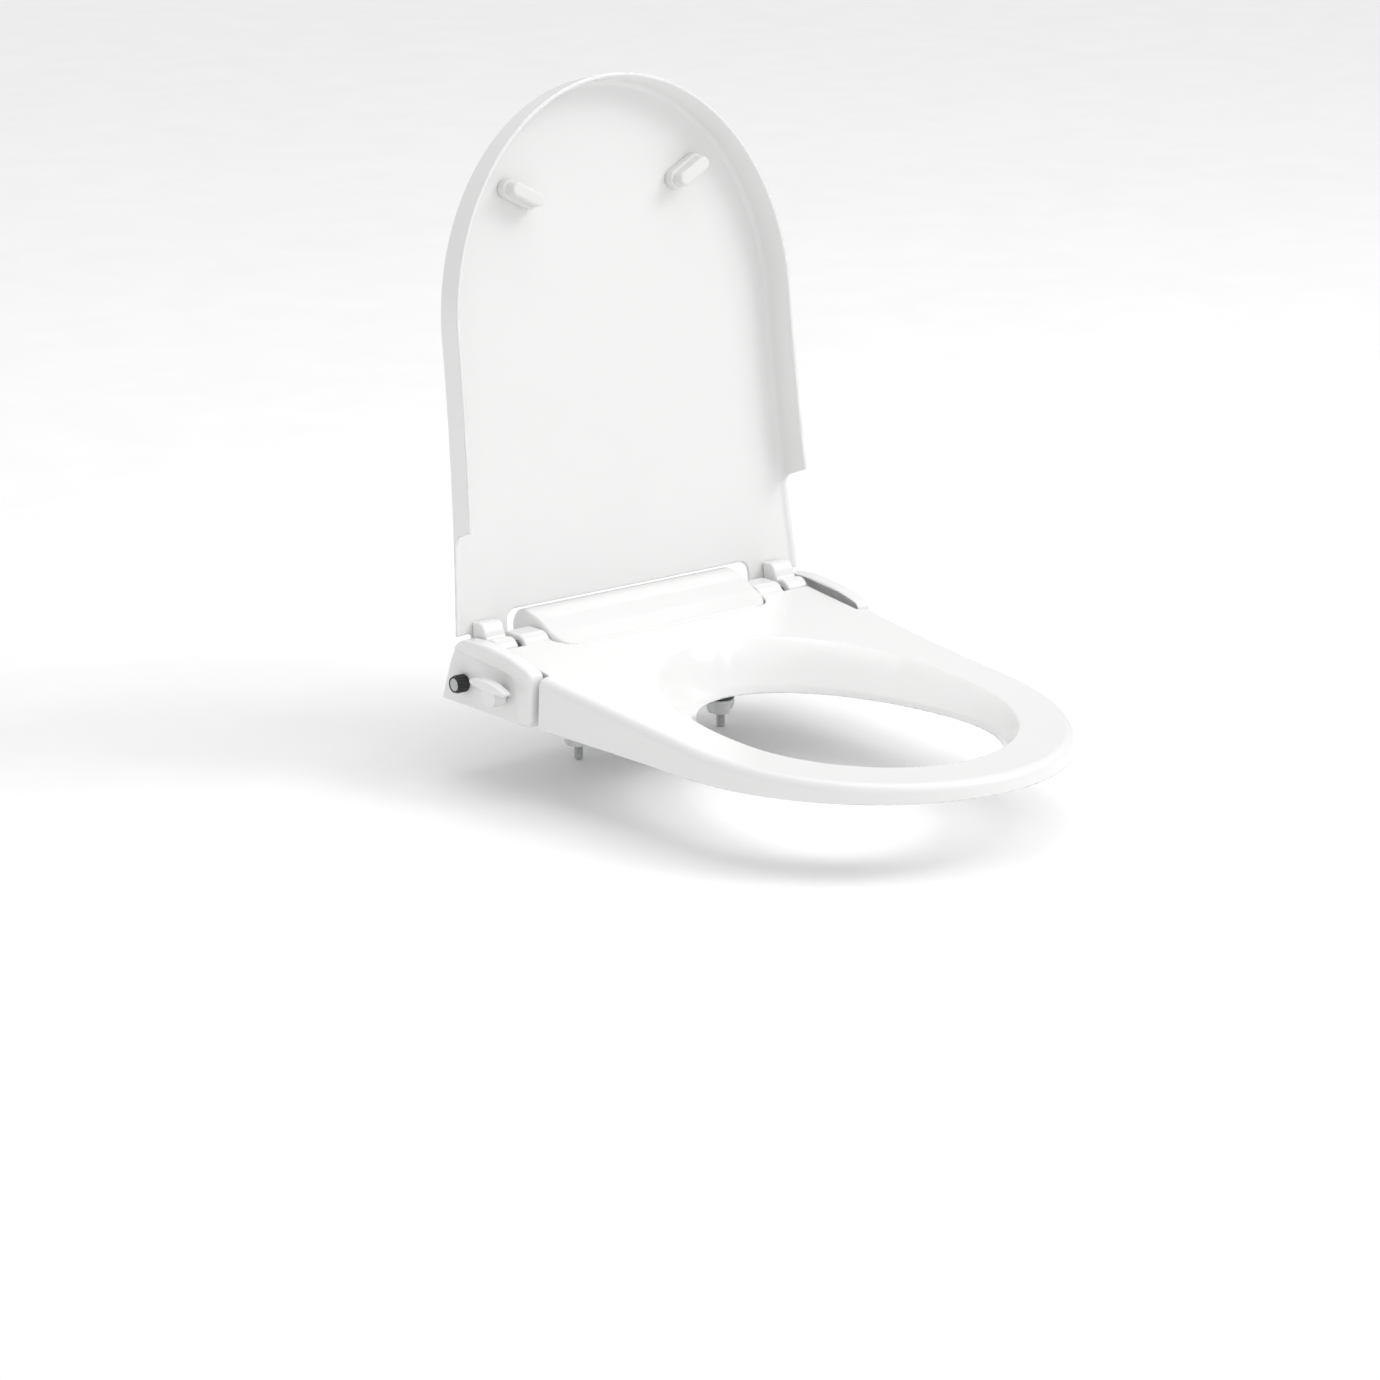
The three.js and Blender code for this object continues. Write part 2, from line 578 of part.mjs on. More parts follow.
const humpProfile = [
  [HUMP_REAR, TRAY_TOP + FIT], [HUMP_REAR - 1, HINGE_HEIGHT + 12, 4], [HUMP_REAR - 7, HINGE_HEIGHT + 20, 5],
  [HUMP_RIDGE, HINGE_HEIGHT + 23, 5], [HUMP_RIDGE - 20, HINGE_HEIGHT + 17.5, 3],
  [HUMP_RIDGE - 35, HINGE_HEIGHT + 10, 4], [-HUMP_FRONT + 1.5, HINGE_HEIGHT + 2.5, 4],
  [-HUMP_FRONT, HINGE_HEIGHT - 3, 3], [-HUMP_FRONT, TRAY_TOP + FIT],
];

function humpCover() {
  const solid = sideways(humpProfile, -HUMP_HALF_WIDTH, HUMP_HALF_WIDTH);
  const plan = upright([
    [-HUMP_HALF_WIDTH, PLENTY], [-HUMP_HALF_WIDTH, -HUMP_FRONT, HUMP_ROUND],
    [HUMP_HALF_WIDTH, -HUMP_FRONT, HUMP_ROUND], [HUMP_HALF_WIDTH, PLENTY],
  ], -PLENTY, PLENTY);
  const wall = HUMP_WALL;
  const inside = sideways([
    [HUMP_REAR - wall, -1], [HUMP_REAR - 1 - wall, HINGE_HEIGHT + 11, 3], [HUMP_REAR - 9, HINGE_HEIGHT + 16.8, 4],
    [HUMP_RIDGE - 0.5, HINGE_HEIGHT + 20, 4], [HUMP_RIDGE - 19.4, HINGE_HEIGHT + 14.6, 3],
    [HUMP_RIDGE - 34, HINGE_HEIGHT + 7, 3], [-HUMP_FRONT + wall + 1, HINGE_HEIGHT - 0.7, 2],
    [-HUMP_FRONT + wall, HINGE_HEIGHT - 4], [-HUMP_FRONT + wall, -1],
  ], -HUMP_HALF_WIDTH + wall, HUMP_HALF_WIDTH - wall);
  const insidePlan = upright([
    [-HUMP_HALF_WIDTH + wall, PLENTY], [-HUMP_HALF_WIDTH + wall, -HUMP_FRONT + wall, HUMP_ROUND],
    [HUMP_HALF_WIDTH - wall, -HUMP_FRONT + wall, HUMP_ROUND], [HUMP_HALF_WIDTH - wall, PLENTY],
  ], -PLENTY, PLENTY);
  const bosses = [];
  const bossBores = [];
  for (const x of [-SCREW_X, SCREW_X]) {
    for (const y of SCREW_ROWS) {
      const [y0, y1] = y < 0 ? [-HUMP_FRONT + 1, y + 5] : [y - 5, HUMP_REAR - 2];
      bosses.push(block(x - 5, x + 5, y0, y1, TRAY_TOP + FIT, 22));
      bossBores.push(post(SCREW_RADIUS + FIT, 0, 19.5, x, y, 12));
    }
  }
  const nozzleDoor = block(-HOUSING_WIDTH / 2 - 2, HOUSING_WIDTH / 2 + 2, -PLENTY, 0, -1, 36);
  const hoseHole = block(-PLENTY, -HUMP_HALF_WIDTH + wall + 1, 0, 30, -1, 32);
  const latchHole = block(HUMP_HALF_WIDTH - wall - 1, PLENTY, BUTTON_Y - 6, BUTTON_Y + 6, -1, BUTTON_Z + 5);
  const pinBore = axle(PIN_RADIUS + PIN_PLAY, -PLENTY, PLENTY, 0, HINGE_HEIGHT);
  const shell = cut(common(solid, plan), common(inside, insidePlan));
  return cut(common(join(shell, ...bosses), plan), ...bossBores, nozzleDoor, hoseHole, latchHole, pinBore);
}

const coverProfile = (inset) => [
  [COVER_REAR - 1.3 * inset, COVER_BOTTOM + inset, 1], [COVER_REAR - 16 - inset, HINGE_HEIGHT - 3, 5],
  [COVER_REAR - 27 - inset / 3, HINGE_HEIGHT + 10 - inset, 7], [COVER_REAR - 42, HINGE_HEIGHT + 13.3 - inset, 6],
  [-COVER_FRONT + 14 + inset / 3, HINGE_HEIGHT + 6 - inset, 7],
  [-COVER_FRONT + inset, HINGE_HEIGHT - inset / 2, 6], [-COVER_FRONT + 2 + inset, COVER_BOTTOM + inset, 1],
];

function sideCover(sign) {
  const skin = sideways(coverProfile(0), COVER_INNER, COVER_OUTER);
  const hollow = sideways(coverProfile(COVER_WALL), COVER_INNER - 1, COVER_OUTER - COVER_WALL - PANEL_DEPTH);
  if (sign > 0) {
    return cut(skin, hollow, axle(BUTTON_RADIUS + 0.4, COVER_INNER, PLENTY, BUTTON_Y, BUTTON_Z));
  }
  const panel = sideways([
    [PLENTY, -1], [PLENTY, HINGE_HEIGHT + 2.5], [COVER_REAR - 31, HINGE_HEIGHT + 1.5, 6],
    [-COVER_FRONT + 23, HINGE_HEIGHT - 5, 8], [-COVER_FRONT + 16, -1],
  ], COVER_OUTER - PANEL_DEPTH, PLENTY);
  const spindleBore = axle(SPINDLE_RADIUS + 0.6, COVER_INNER, PLENTY, LEVER_Y, LEVER_Z);
  const inletBore = axle(NIPPLE_RADIUS + 0.7, COVER_INNER, PLENTY, INLET_Y, INLET_Z);
  return mirrorX(cut(skin, hollow, panel, spindleBore, inletBore));
}

function baseTray() {
  const half = COVER_INNER - FIT;
  const plate = upright([
    [-half, -TRAY_FRONT, 8], [half, -TRAY_FRONT, 8], [half, TRAY_REAR, 6], [-half, TRAY_REAR, 6],
  ], TRAY_BOTTOM, TRAY_TOP);
  const cutters = [block(-HOUSING_WIDTH / 2 - 3, HOUSING_WIDTH / 2 + 3, -PLENTY, -38, 0, PLENTY)];
  for (const x of [-BOLT_SPACING / 2, BOLT_SPACING / 2]) {
    cutters.push(post(BOLT_HEAD_RADIUS + 1, 0, PLENTY, x, 0));
  }
  for (const x of [-SCREW_X, SCREW_X]) {
    for (const y of SCREW_ROWS) {
      cutters.push(post(SCREW_RADIUS + FIT, 0, PLENTY, x, y, 12));
      cutters.push(post(SCREW_HEAD_RADIUS + FIT, 0, TRAY_BOTTOM + 2.2, x, y, 12));
    }
  }
  return cut(plate, ...cutters);
}

const screw = (x, y) => turned([
  [0, TRAY_BOTTOM], [SCREW_HEAD_RADIUS, TRAY_BOTTOM], [SCREW_HEAD_RADIUS, TRAY_BOTTOM + 1.9],
  [SCREW_RADIUS, TRAY_BOTTOM + 1.9], [SCREW_RADIUS, 18.5], [0, 18.5],
], 12).translate(x, y, 0);

function mountingPlate() {
  const [a, b] = [PLATE_HALF_WIDTH, PLATE_HALF_DEPTH];
  const plate = upright([[-a, -b, 6], [a, -b, 6], [a, b, 6], [-a, b, 6]], 0, PLATE_THICKNESS);
  const slots = [-BOLT_SPACING / 2, BOLT_SPACING / 2].map((x) => {
    const [w, d] = [BOLT_RADIUS + PLAY / 2, BOLT_RADIUS + 6];
    return upright([[x - w, -d, w], [x + w, -d, w], [x + w, d, w], [x - w, d, w]], -1, PLATE_THICKNESS + 1);
  });
  return cut(plate, ...slots);
}

const bolt = () => turned([
  [0, PLATE_THICKNESS - BOLT_LENGTH], [BOLT_RADIUS - 1.2, PLATE_THICKNESS - BOLT_LENGTH],
  [BOLT_RADIUS, PLATE_THICKNESS - BOLT_LENGTH + 1.5], [BOLT_RADIUS, PLATE_THICKNESS + FIT],
  [BOLT_HEAD_RADIUS, PLATE_THICKNESS + FIT], [BOLT_HEAD_RADIUS, PLATE_THICKNESS + FIT + 1.6],
  [BOLT_HEAD_RADIUS - 2, PLATE_THICKNESS + FIT + 3.4], [0, PLATE_THICKNESS + FIT + 3.4],
]);

function rubberCone() {
  const [bore, top, low] = [BOLT_RADIUS + FIT, -DECK_THICKNESS, -DECK_THICKNESS - CONE_HEIGHT];
  return turned([[bore, low], [12, low], [12, low + 3], [7, top], [bore, top], [bore, low]]);
}

function wingNut() {
  const top = -DECK_THICKNESS - CONE_HEIGHT - FIT;
  const bottom = top - WING_NUT_HEIGHT;
  const body = turned([[0, bottom], [8, bottom], [8, top - 4], [11, top - 3], [11, top], [0, top]], 16);
  const wings = block(-15, 15, -2, 2, bottom + 1, top - 2);
  return cut(join(body, wings), post(BOLT_RADIUS + FIT, bottom - 1, top + 1, 0, 0));
}

function hingeBracket() {
  const plate = sideways([
    [-15, TRAY_TOP + FIT], [-7, HINGE_HEIGHT + BRACKET_CAP, 5], [9, HINGE_HEIGHT + BRACKET_CAP, 5], [15, TRAY_TOP + FIT],
  ], BRACKET_INNER, BRACKET_OUTER);
  return cut(plate, axle(PIN_RADIUS + PIN_PLAY, 0, PLENTY, 0, HINGE_HEIGHT));
}

function damper() {
  const end = BRACKET_INNER - FIT;
  const shape = axle(DAMPER_RADIUS, end - DAMPER_LENGTH, end, 0, HINGE_HEIGHT);
  const socket = axle(PIN_RADIUS + FIT, end - 8, end + 1, 0, HINGE_HEIGHT);
  return cut(shape, socket);
}

// ---- water side ----

function valveBody() {
  const outer = COVER_INNER - 2;
  const body = sideways([
    [LEVER_Y - 13, TRAY_TOP + FIT, 2], [INLET_Y + 10, TRAY_TOP + FIT, 2], [INLET_Y + 10, VALVE_TOP, 4],
    [LEVER_Y - 13, VALVE_TOP, 6],
  ], VALVE_INNER, outer);
  const spindleBore = axle(SPINDLE_RADIUS + FIT, outer - 12, PLENTY, LEVER_Y, LEVER_Z);
  const inletBore = axle(NIPPLE_RADIUS + FIT, outer - 8, PLENTY, INLET_Y, INLET_Z);
  return mirrorX(cut(body, spindleBore, inletBore));
}

function inletNipple() {
  const inner = COVER_INNER - 2 - 8 + FIT;
  const pipe = axle(NIPPLE_RADIUS, inner, INLET_NUT_FACE - 2, INLET_Y, INLET_Z);
  return mirrorX(cut(pipe, axle(NIPPLE_BORE, inner - 1, PLENTY, INLET_Y, INLET_Z, 12)));
}

function inletNut() {
  const inner = COVER_OUTER - PANEL_DEPTH + FIT;
  const nut = join(
    axle(INLET_NUT_RADIUS, inner, INLET_NUT_FACE - 2.5, INLET_Y, INLET_Z, 16),
    axle(INLET_NUT_RADIUS - 1.2, INLET_NUT_FACE - 3, INLET_NUT_FACE, INLET_Y, INLET_Z, 16));
  return mirrorX(cut(nut, axle(NIPPLE_RADIUS + FIT, inner - 1, INLET_NUT_FACE + 1, INLET_Y, INLET_Z)));
}

function inletCap() {
  const inner = INLET_NUT_FACE - 2 + FIT;
  return mirrorX(axle(NIPPLE_RADIUS, inner, INLET_NUT_FACE - 0.4, INLET_Y, INLET_Z));
}

function lever() {
  const [y, z] = [LEVER_Y, LEVER_Z];
  const paddle = sideways([
    [y + LEVER_TAIL, z + 4.5, 2.5], [y + LEVER_TAIL - 1, z + 8.5, 2.5], [y + 20, z + 16, 12],
    [y - 8, z + 16, 12], [y - LEVER_TIP, z + 7, 4], [y - LEVER_TIP + 3, z + 2, 3], [y - 8, z + 1, 8],
    [y + 14, z + 3.5, 8],
  ], LEVER_FACE - LEVER_THICKNESS, LEVER_FACE);
  const hub = axle(LEVER_HUB_RADIUS, COVER_OUTER + 0.6, LEVER_FACE - 3, y, z, 24);
  return mirrorX(join(paddle, hub));
}

function leverSpindle() {
  const inner = COVER_INNER - 2 - 12 + FIT;
  return mirrorX(axle(SPINDLE_RADIUS, inner, COVER_OUTER + 0.3, LEVER_Y, LEVER_Z));
}

// The hoses run from the valve, through the hump's side, to the rear of the nozzle housing.
function hose(sign) {
  const start = sign < 0 ? INLET_Y - 20 : INLET_Y - 6;
  const [endY, endZ] = [nozzleY(NOZZLE_LENGTH + 8), nozzleZ(NOZZLE_LENGTH + 8)];
  const endX = (sign * NOZZLE_SPACING) / 2;
  const [lift, back] = sign < 0 ? [0, 0] : [9, 8];
  return tube([
    [-VALVE_INNER + FIT, start, 20], [-VALVE_INNER + 4, start, 20], [-VALVE_INNER + 9, start + 1, 20],
    [-BRACKET_OUTER - 6, 18, 14 + lift], [-BRACKET_INNER, 23, 14 + lift], [-60, 26, 18 + lift],
    [-22, 25 + back, 26 + lift], [endX, endY + 9, endZ + 4], [endX, endY + 4, endZ + 1.6], [endX, endY, endZ],
  ], HOSE_RADIUS);
}

// A point on the nozzle's line, at a distance behind its tip.
const nozzleY = (behind) => NOZZLE_TIP_Y + behind * Math.cos(THREE.MathUtils.degToRad(NOZZLE_SLOPE));
const nozzleZ = (behind) => NOZZLE_TIP_Z + behind * Math.sin(THREE.MathUtils.degToRad(NOZZLE_SLOPE));

// Pieces along the nozzles are drawn level, with the tips at the origin, and tipped down afterwards.
const nozzleAxis = (geometry, x) => geometry.translate(x, 0, 0);

function alongY(radius, y0, y1, sides = ROUND) {
  return new THREE.CylinderGeometry(radius, radius, y1 - y0, sides).translate(0, (y0 + y1) / 2, 0);
}

function nozzleHousing() {
  const [half, tall] = [HOUSING_WIDTH / 2, HOUSING_HALF_HEIGHT];
  const body = block(-half, half, SHIELD_THICKNESS + 2 + FIT, NOZZLE_LENGTH + 6, -tall, tall);
  const bores = [-1, 1].map((sign) => nozzleAxis(
    alongY(NOZZLE_RADIUS + FIT, -5, NOZZLE_LENGTH + 2), sign * NOZZLE_SPACING / 2));
  return cut(body, ...bores);
}

function nozzleShield() {
  const [half, tall] = [HOUSING_WIDTH / 2, HOUSING_HALF_HEIGHT - 0.5];
  const plate = block(-half, half, 2, 2 + SHIELD_THICKNESS, -tall, tall);
  const holes = [-1, 1].map((sign) => nozzleAxis(
    alongY(NOZZLE_RADIUS + 0.6, -5, 20), sign * NOZZLE_SPACING / 2));
  return cut(plate, ...holes);
}

function nozzle(sign) {
  const profile = [[0, 0], [3.5, 0], [NOZZLE_RADIUS, 3], [NOZZLE_RADIUS, NOZZLE_LENGTH], [0, NOZZLE_LENGTH]];
  const rod = new THREE.LatheGeometry(profile.map(([r, y]) => new THREE.Vector2(r, y)), ROUND);
  const jetAt = sign < 0 ? 9 : 6;
  const jet = new THREE.CylinderGeometry(1.1, 1.1, 6, 10).rotateX(Math.PI / 2).translate(0, jetAt, NOZZLE_RADIUS);
  return nozzleAxis(cut(rod, jet), (sign * NOZZLE_SPACING) / 2);
}

// ---- release button ----

function releaseButton() {
  const head = COVER_OUTER + BUTTON_PROUD;
  return join(
    axle(BUTTON_RADIUS, COVER_OUTER - 4, head - 1, BUTTON_Y, BUTTON_Z),
    axle(BUTTON_RADIUS - 1, head - 1.5, head, BUTTON_Y, BUTTON_Z));
}

const latchBar = () => join(
  block(LATCH_END, COVER_OUTER - 4 - FIT, BUTTON_Y - 4, BUTTON_Y + 4, BUTTON_Z - 3, BUTTON_Z + 3),
  block(LATCH_END, LATCH_END + 8, BUTTON_Y - 4, BUTTON_Y + 4, TRAY_TOP + 1, BUTTON_Z + 3));

// ---- assembly ----

add('mounting_plate', mountingPlate(), STEEL);
add('base_tray', baseTray(), INNER_WHITE);
add('hump_cover', humpCover(), GLOSS_WHITE);
add('valve_body', valveBody(), INNER_WHITE);
add('inlet_nipple', inletNipple(), INNER_WHITE);
add('inlet_nut', inletNut(), BLACK);
add('inlet_cap', inletCap(), PALE_GREY);
add('hose_rear', hose(-1), HOSE_CLEAR);
add('hose_front', hose(1), HOSE_CLEAR);
add('lever', lever(), GLOSS_WHITE);
add('lever_spindle', leverSpindle(), INNER_WHITE);
add('release_button', releaseButton(), GLOSS_WHITE);
add('latch_bar', latchBar(), INNER_WHITE);

for (const [side, sign] of SIDES) {
  const boltX = (sign * BOLT_SPACING) / 2;
  add(`side_cover_${side}`, sideCover(sign), GLOSS_WHITE);
  add(`bolt_${side}`, bolt().translate(boltX, 0, 0), STEEL);
  add(`rubber_cone_${side}`, rubberCone().translate(boltX, 0, 0), RUBBER_GREY);
  add(`wing_nut_${side}`, wingNut().translate(boltX, 0, 0), INNER_WHITE);
  add(`hinge_bracket_${side}`, onSide(hingeBracket(), sign), INNER_WHITE);
  const pin = axle(PIN_RADIUS, BRACKET_INNER - 8 + FIT, COVER_INNER - FIT, 0, HINGE_HEIGHT);
  add(`hinge_pin_${side}`, onSide(pin, sign), STEEL);
  add(sign < 0 ? 'seat_damper' : 'lid_damper', onSide(damper(), sign), PALE_GREY);
  for (const y of SCREW_ROWS) {
    add(`screw_${side}_${y < 0 ? 'front' : 'rear'}`, screw(sign * SCREW_X, y), STEEL);
  }
}

const nozzles = new THREE.Group();
nozzles.position.set(0, NOZZLE_TIP_Y, NOZZLE_TIP_Z);
nozzles.rotation.x = THREE.MathUtils.degToRad(NOZZLE_SLOPE);
group.add(nozzles);
add('nozzle_housing', nozzleHousing(), INNER_WHITE, nozzles);
add('nozzle_shield', nozzleShield(), GLOSS_WHITE, nozzles);
add('nozzle_rear', nozzle(-1), GLOSS_WHITE, nozzles);
add('nozzle_front', nozzle(1), GLOSS_WHITE, nozzles);

add('seat_top', seatTop(), GLOSS_WHITE);
add('seat_under', seatUnder(), INNER_WHITE);
for (const [side, sign] of SIDES) {
  const bushOuter = PIN_RADIUS + PIN_PLAY + BUSH_WALL;
  const [bushIn, bushOut] = [HUMP_HALF_WIDTH + PLAY + FIT, EAR_OUTER - FIT];
  const bush = cut(
    axle(bushOuter, bushIn, bushOut, 0, HINGE_HEIGHT),
    axle(PIN_RADIUS + PIN_PLAY, bushIn - 1, bushOut + 1, 0, HINGE_HEIGHT));
  add(`seat_bush_${side}`, onSide(bush, sign), PALE_GREY);
  add(`seat_bumper_${side}_rear`, onSide(seatBumper(...SEAT_BUMPER_REAR), sign), RUBBER_WHITE);
  add(`seat_bumper_${side}_front`, onSide(seatBumper(...frontBumperPlace()), sign), RUBBER_WHITE);
}

const lid = new THREE.Group();
lid.position.z = HINGE_HEIGHT;
lid.rotation.x = THREE.MathUtils.degToRad(-LID_OPEN);
group.add(lid);
add('lid_shell', lidShell(), GLOSS_WHITE, lid);
for (const [side, sign] of SIDES) {
  add(`lid_knuckle_${side}`, onSide(lidKnuckle(), sign), GLOSS_WHITE, lid);
  add(`lid_bumper_${side}`, onSide(lidBumper(), sign), RUBBER_WHITE, lid);
}

export default group;
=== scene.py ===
"""The looks of a slim bidet seat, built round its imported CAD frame.

Each moulded piece is one formula: a distance that is negative inside the plastic. skin() turns a
formula into a mesh, so walls, rounded edges and cuts all come from the same few named sizes.
Formulas are in millimetres, in the CAD frame. The lid's are drawn lying flat: x across, s forward
of the hinge, h above it.
"""

import json
import math

import bpy
import numpy as np
from mathutils import Matrix, Vector


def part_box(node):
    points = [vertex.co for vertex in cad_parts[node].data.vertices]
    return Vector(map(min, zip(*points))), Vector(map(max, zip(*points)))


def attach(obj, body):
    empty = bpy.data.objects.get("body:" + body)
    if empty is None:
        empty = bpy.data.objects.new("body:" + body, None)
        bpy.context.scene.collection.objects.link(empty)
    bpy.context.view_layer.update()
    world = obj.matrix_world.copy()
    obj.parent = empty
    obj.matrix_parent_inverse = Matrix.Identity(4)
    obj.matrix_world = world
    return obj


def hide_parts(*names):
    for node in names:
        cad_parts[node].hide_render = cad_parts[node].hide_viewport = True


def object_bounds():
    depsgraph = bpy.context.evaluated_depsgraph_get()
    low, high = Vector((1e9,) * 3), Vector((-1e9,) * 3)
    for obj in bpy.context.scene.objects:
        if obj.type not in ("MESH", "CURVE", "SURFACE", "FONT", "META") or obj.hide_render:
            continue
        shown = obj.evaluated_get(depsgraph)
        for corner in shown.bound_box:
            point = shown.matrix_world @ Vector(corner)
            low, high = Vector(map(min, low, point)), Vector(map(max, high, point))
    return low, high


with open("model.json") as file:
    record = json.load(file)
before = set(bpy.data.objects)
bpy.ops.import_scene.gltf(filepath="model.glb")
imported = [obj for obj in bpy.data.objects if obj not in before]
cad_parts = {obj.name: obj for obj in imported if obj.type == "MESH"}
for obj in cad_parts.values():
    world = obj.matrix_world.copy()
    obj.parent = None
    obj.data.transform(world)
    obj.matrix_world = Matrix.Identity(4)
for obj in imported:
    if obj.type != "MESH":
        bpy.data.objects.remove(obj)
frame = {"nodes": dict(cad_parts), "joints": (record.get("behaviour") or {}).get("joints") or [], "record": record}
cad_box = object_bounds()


def mm_box(node):
    """Lowest and highest corner of a CAD node, in millimetres."""
    low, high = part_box(node)
    return 1000 * np.array(low), 1000 * np.array(high)


# ---- sizes, millimetres and degrees ----

COARSE = 1.7  # mesh step on the large mouldings, well under their walls
MEDIUM = 1.1
FINE = 0.6
FIT = 0.3  # gap between pieces that touch
PLAY = 1.2  # gap between pieces that move past each other

JOINTS = {joint["name"]: joint for joint in frame["joints"]}
HINGE = 1000 * JOINTS["lid_hinge"]["pos_m"][2]
PIN_HOLE = 4.35
CLOSED_TILT = 4.9
LID_OPEN = -JOINTS["lid_hinge"]["range_deg"][0] - CLOSED_TILT

LID_HALF_WIDTH = 178.0
LID_REAR_HALF_WIDTH = 190.0
LID_LENGTH = 464.0
LID_STRAIGHT = 260.0  # where the sides turn into the elliptical front
LID_TOP = 27.5
LID_WALL = 3.4
LID_LIP = -3.5  # height of the skirt's lip, from the hinge
LID_DRAFT = 3.5
LID_ROUND = 5.0
LID_NOTCH = 103.0
LID_NOTCH_SLOPE = 7.0
LID_NOTCH_HEIGHT = 22.5
LID_REAR = 4.0
LID_CORNER = (168.0, 14.0)  # x and s from where the rear corners are cut away
KNUCKLE_RADIUS = 11.0
KNUCKLE_INNER = 146.0
KNUCKLE_OUTER = 168.0
WINDOW_HALF = 131.0
WINDOW_FRONT = 28.0

SEAT_LOW, SEAT_HIGH = mm_box("seat_top")
SEAT_LENGTH = -SEAT_LOW[1]
SEAT_BOTTOM = SEAT_LOW[2]
SEAT_REAR = -24.5
SEAT_INSET = 3.8
SEAT_REAR_HEIGHT = 56.4
SEAT_FRONT_HEIGHT = 18.0
SEAT_WALL = 3.6
SEAT_ROUND = 7.0
SEAT_DRAFT = 2.0
UNDERCUT_FRONT = 70.0  # behind this the seat is a thin slab
UNDERCUT_HEIGHT = HINGE - 16
OPENING_HALF = 103.0
OPENING_REAR = 104.0
OPENING_WIDEST = 284.0
OPENING_FRONT = 402.0
OPENING_HEIGHT = 6.5
OPENING_RIM = 14.0  # the seat is solid this far from the opening
DISH_REAR = 20.0  # width of the slope behind the opening, beside it and in front of it
DISH_SIDE = 36.0
DISH_FRONT = 8.0
DISH_TAPER = 208.3  # the slope narrows from here to the front
CHANNEL_HALF = 39.0  # the seat's underside is open over the nozzles
CHANNEL_FRONT = 100.0
BETWEEN_COVERS = 166.5
EAR_OUTER = 140.0
EAR_RADIUS = 11.0
EAR_BACK = 19.0
BUSH_HOLE = 6.25

HUMP_LOW, HUMP_HIGH = mm_box("hump_cover")
HUMP_ROUND = 20.0
COVER_LOW, COVER_HIGH = mm_box("side_cover_right")
COVER_FRONT = -COVER_LOW[1]
COVER_REAR = COVER_HIGH[1]
PANEL_DEPTH = 3.0
LEVER_LOW, LEVER_HIGH = mm_box("lever")
NUT_LOW, NUT_HIGH = mm_box("inlet_nut")
BUTTON_LOW, BUTTON_HIGH = mm_box("release_button")

SEAT_PADS = {"rear": (128, 190), "front": (88, 392)}  # x and s
LID_PAD = (88.0, 372.0)
LID_PAD_TURN = math.radians(-28)
BOLT_X = 77.5
NOZZLE_RADIUS = 6.0
NOZZLE_LENGTH = 68.0
NOZZLE_X = 10.0
NOZZLE_SLOPE = math.radians(22)
NOZZLE_TIP = Vector((0, -62, 10))
HOUSING_HALF = 21.0
HOUSING_REAR = 74.0

# ---- joining, cutting and rounding distances ----


def meet(a, b, radius=0.0):
    """What lies inside both, with the edge between them rounded."""
    corner = np.hypot(np.maximum(a + radius, 0), np.maximum(b + radius, 0))
    return np.minimum(np.maximum(a, b), -radius) + corner


def join(a, b, radius=0.0):
    """What lies inside either, with a fillet between them."""
    return -meet(-a, -b, radius)


def cut(a, b, radius=0.8):
    """What lies inside a and outside b, with the edge rounded."""
    return meet(a, -b, radius)


def slab(value, low, high, radius=0.0):
    return meet(low - value, value - high, radius)


def prism(u, v, corners):
    """A convex outline of corners [u, v, radius], listed anticlockwise; the first corner stays sharp."""
    inside = None
    for index, (cu, cv, radius) in enumerate(corners):
        nu, nv, _ = corners[(index + 1) % len(corners)]
        length = math.hypot(nu - cu, nv - cv)
        plane = ((u - cu) * (nv - cv) - (v - cv) * (nu - cu)) / length
        inside = plane if inside is None else meet(inside, plane, radius)
    return inside


def capsule(u, v, half_length, radius):
    """An oblong with round ends, along u."""
    return np.hypot(np.maximum(np.abs(u) - (half_length - radius), 0), v) - radius


def turned(r, z, steps, radius):
    """A turned piece from cylinders [radius, low, high] on one axis."""
    whole = None
    for size, low, high in steps:
        piece = meet(r - size, slab(z, low, high), radius)
        whole = piece if whole is None else join(whole, piece, radius)
    return whole


# ---- from distances to meshes ----


def crossings(value, inside):
    """For each grid cell, the mean place where the surface crosses its edges, and how many cross."""
    cells = tuple(n - 1 for n in value.shape)
    total = np.zeros(cells + (3,))
    count = np.zeros(cells)
    for axis in range(3):
        low = [slice(None)] * 3
        high = [slice(None)] * 3
        low[axis], high[axis] = slice(0, -1), slice(1, None)
        a, b = value[tuple(low)], value[tuple(high)]
        crosses = inside[tuple(low)] != inside[tuple(high)]
        share = np.where(crosses, a / np.where(crosses, a - b, 1), 0)
        one, two = (axis + 1) % 3, (axis + 2) % 3
        for du in (0, 1):
            for dv in (0, 1):
                part = [slice(None)] * 3
                part[one] = slice(du, cells[one] + du)
                part[two] = slice(dv, cells[two] + dv)
                hit = crosses[tuple(part)]
                total[..., axis] += share[tuple(part)]
                total[..., one] += du * hit
                total[..., two] += dv * hit
                count += hit
    return total, count


def gradient(shape, points, reach=0.03):
    steps = []
    for axis in range(3):
        ahead, behind = points.copy(), points.copy()
        ahead[:, axis] += reach
        behind[:, axis] -= reach
        steps.append((shape(*ahead.T) - shape(*behind.T)) / (2 * reach))
    return np.stack(steps, 1)


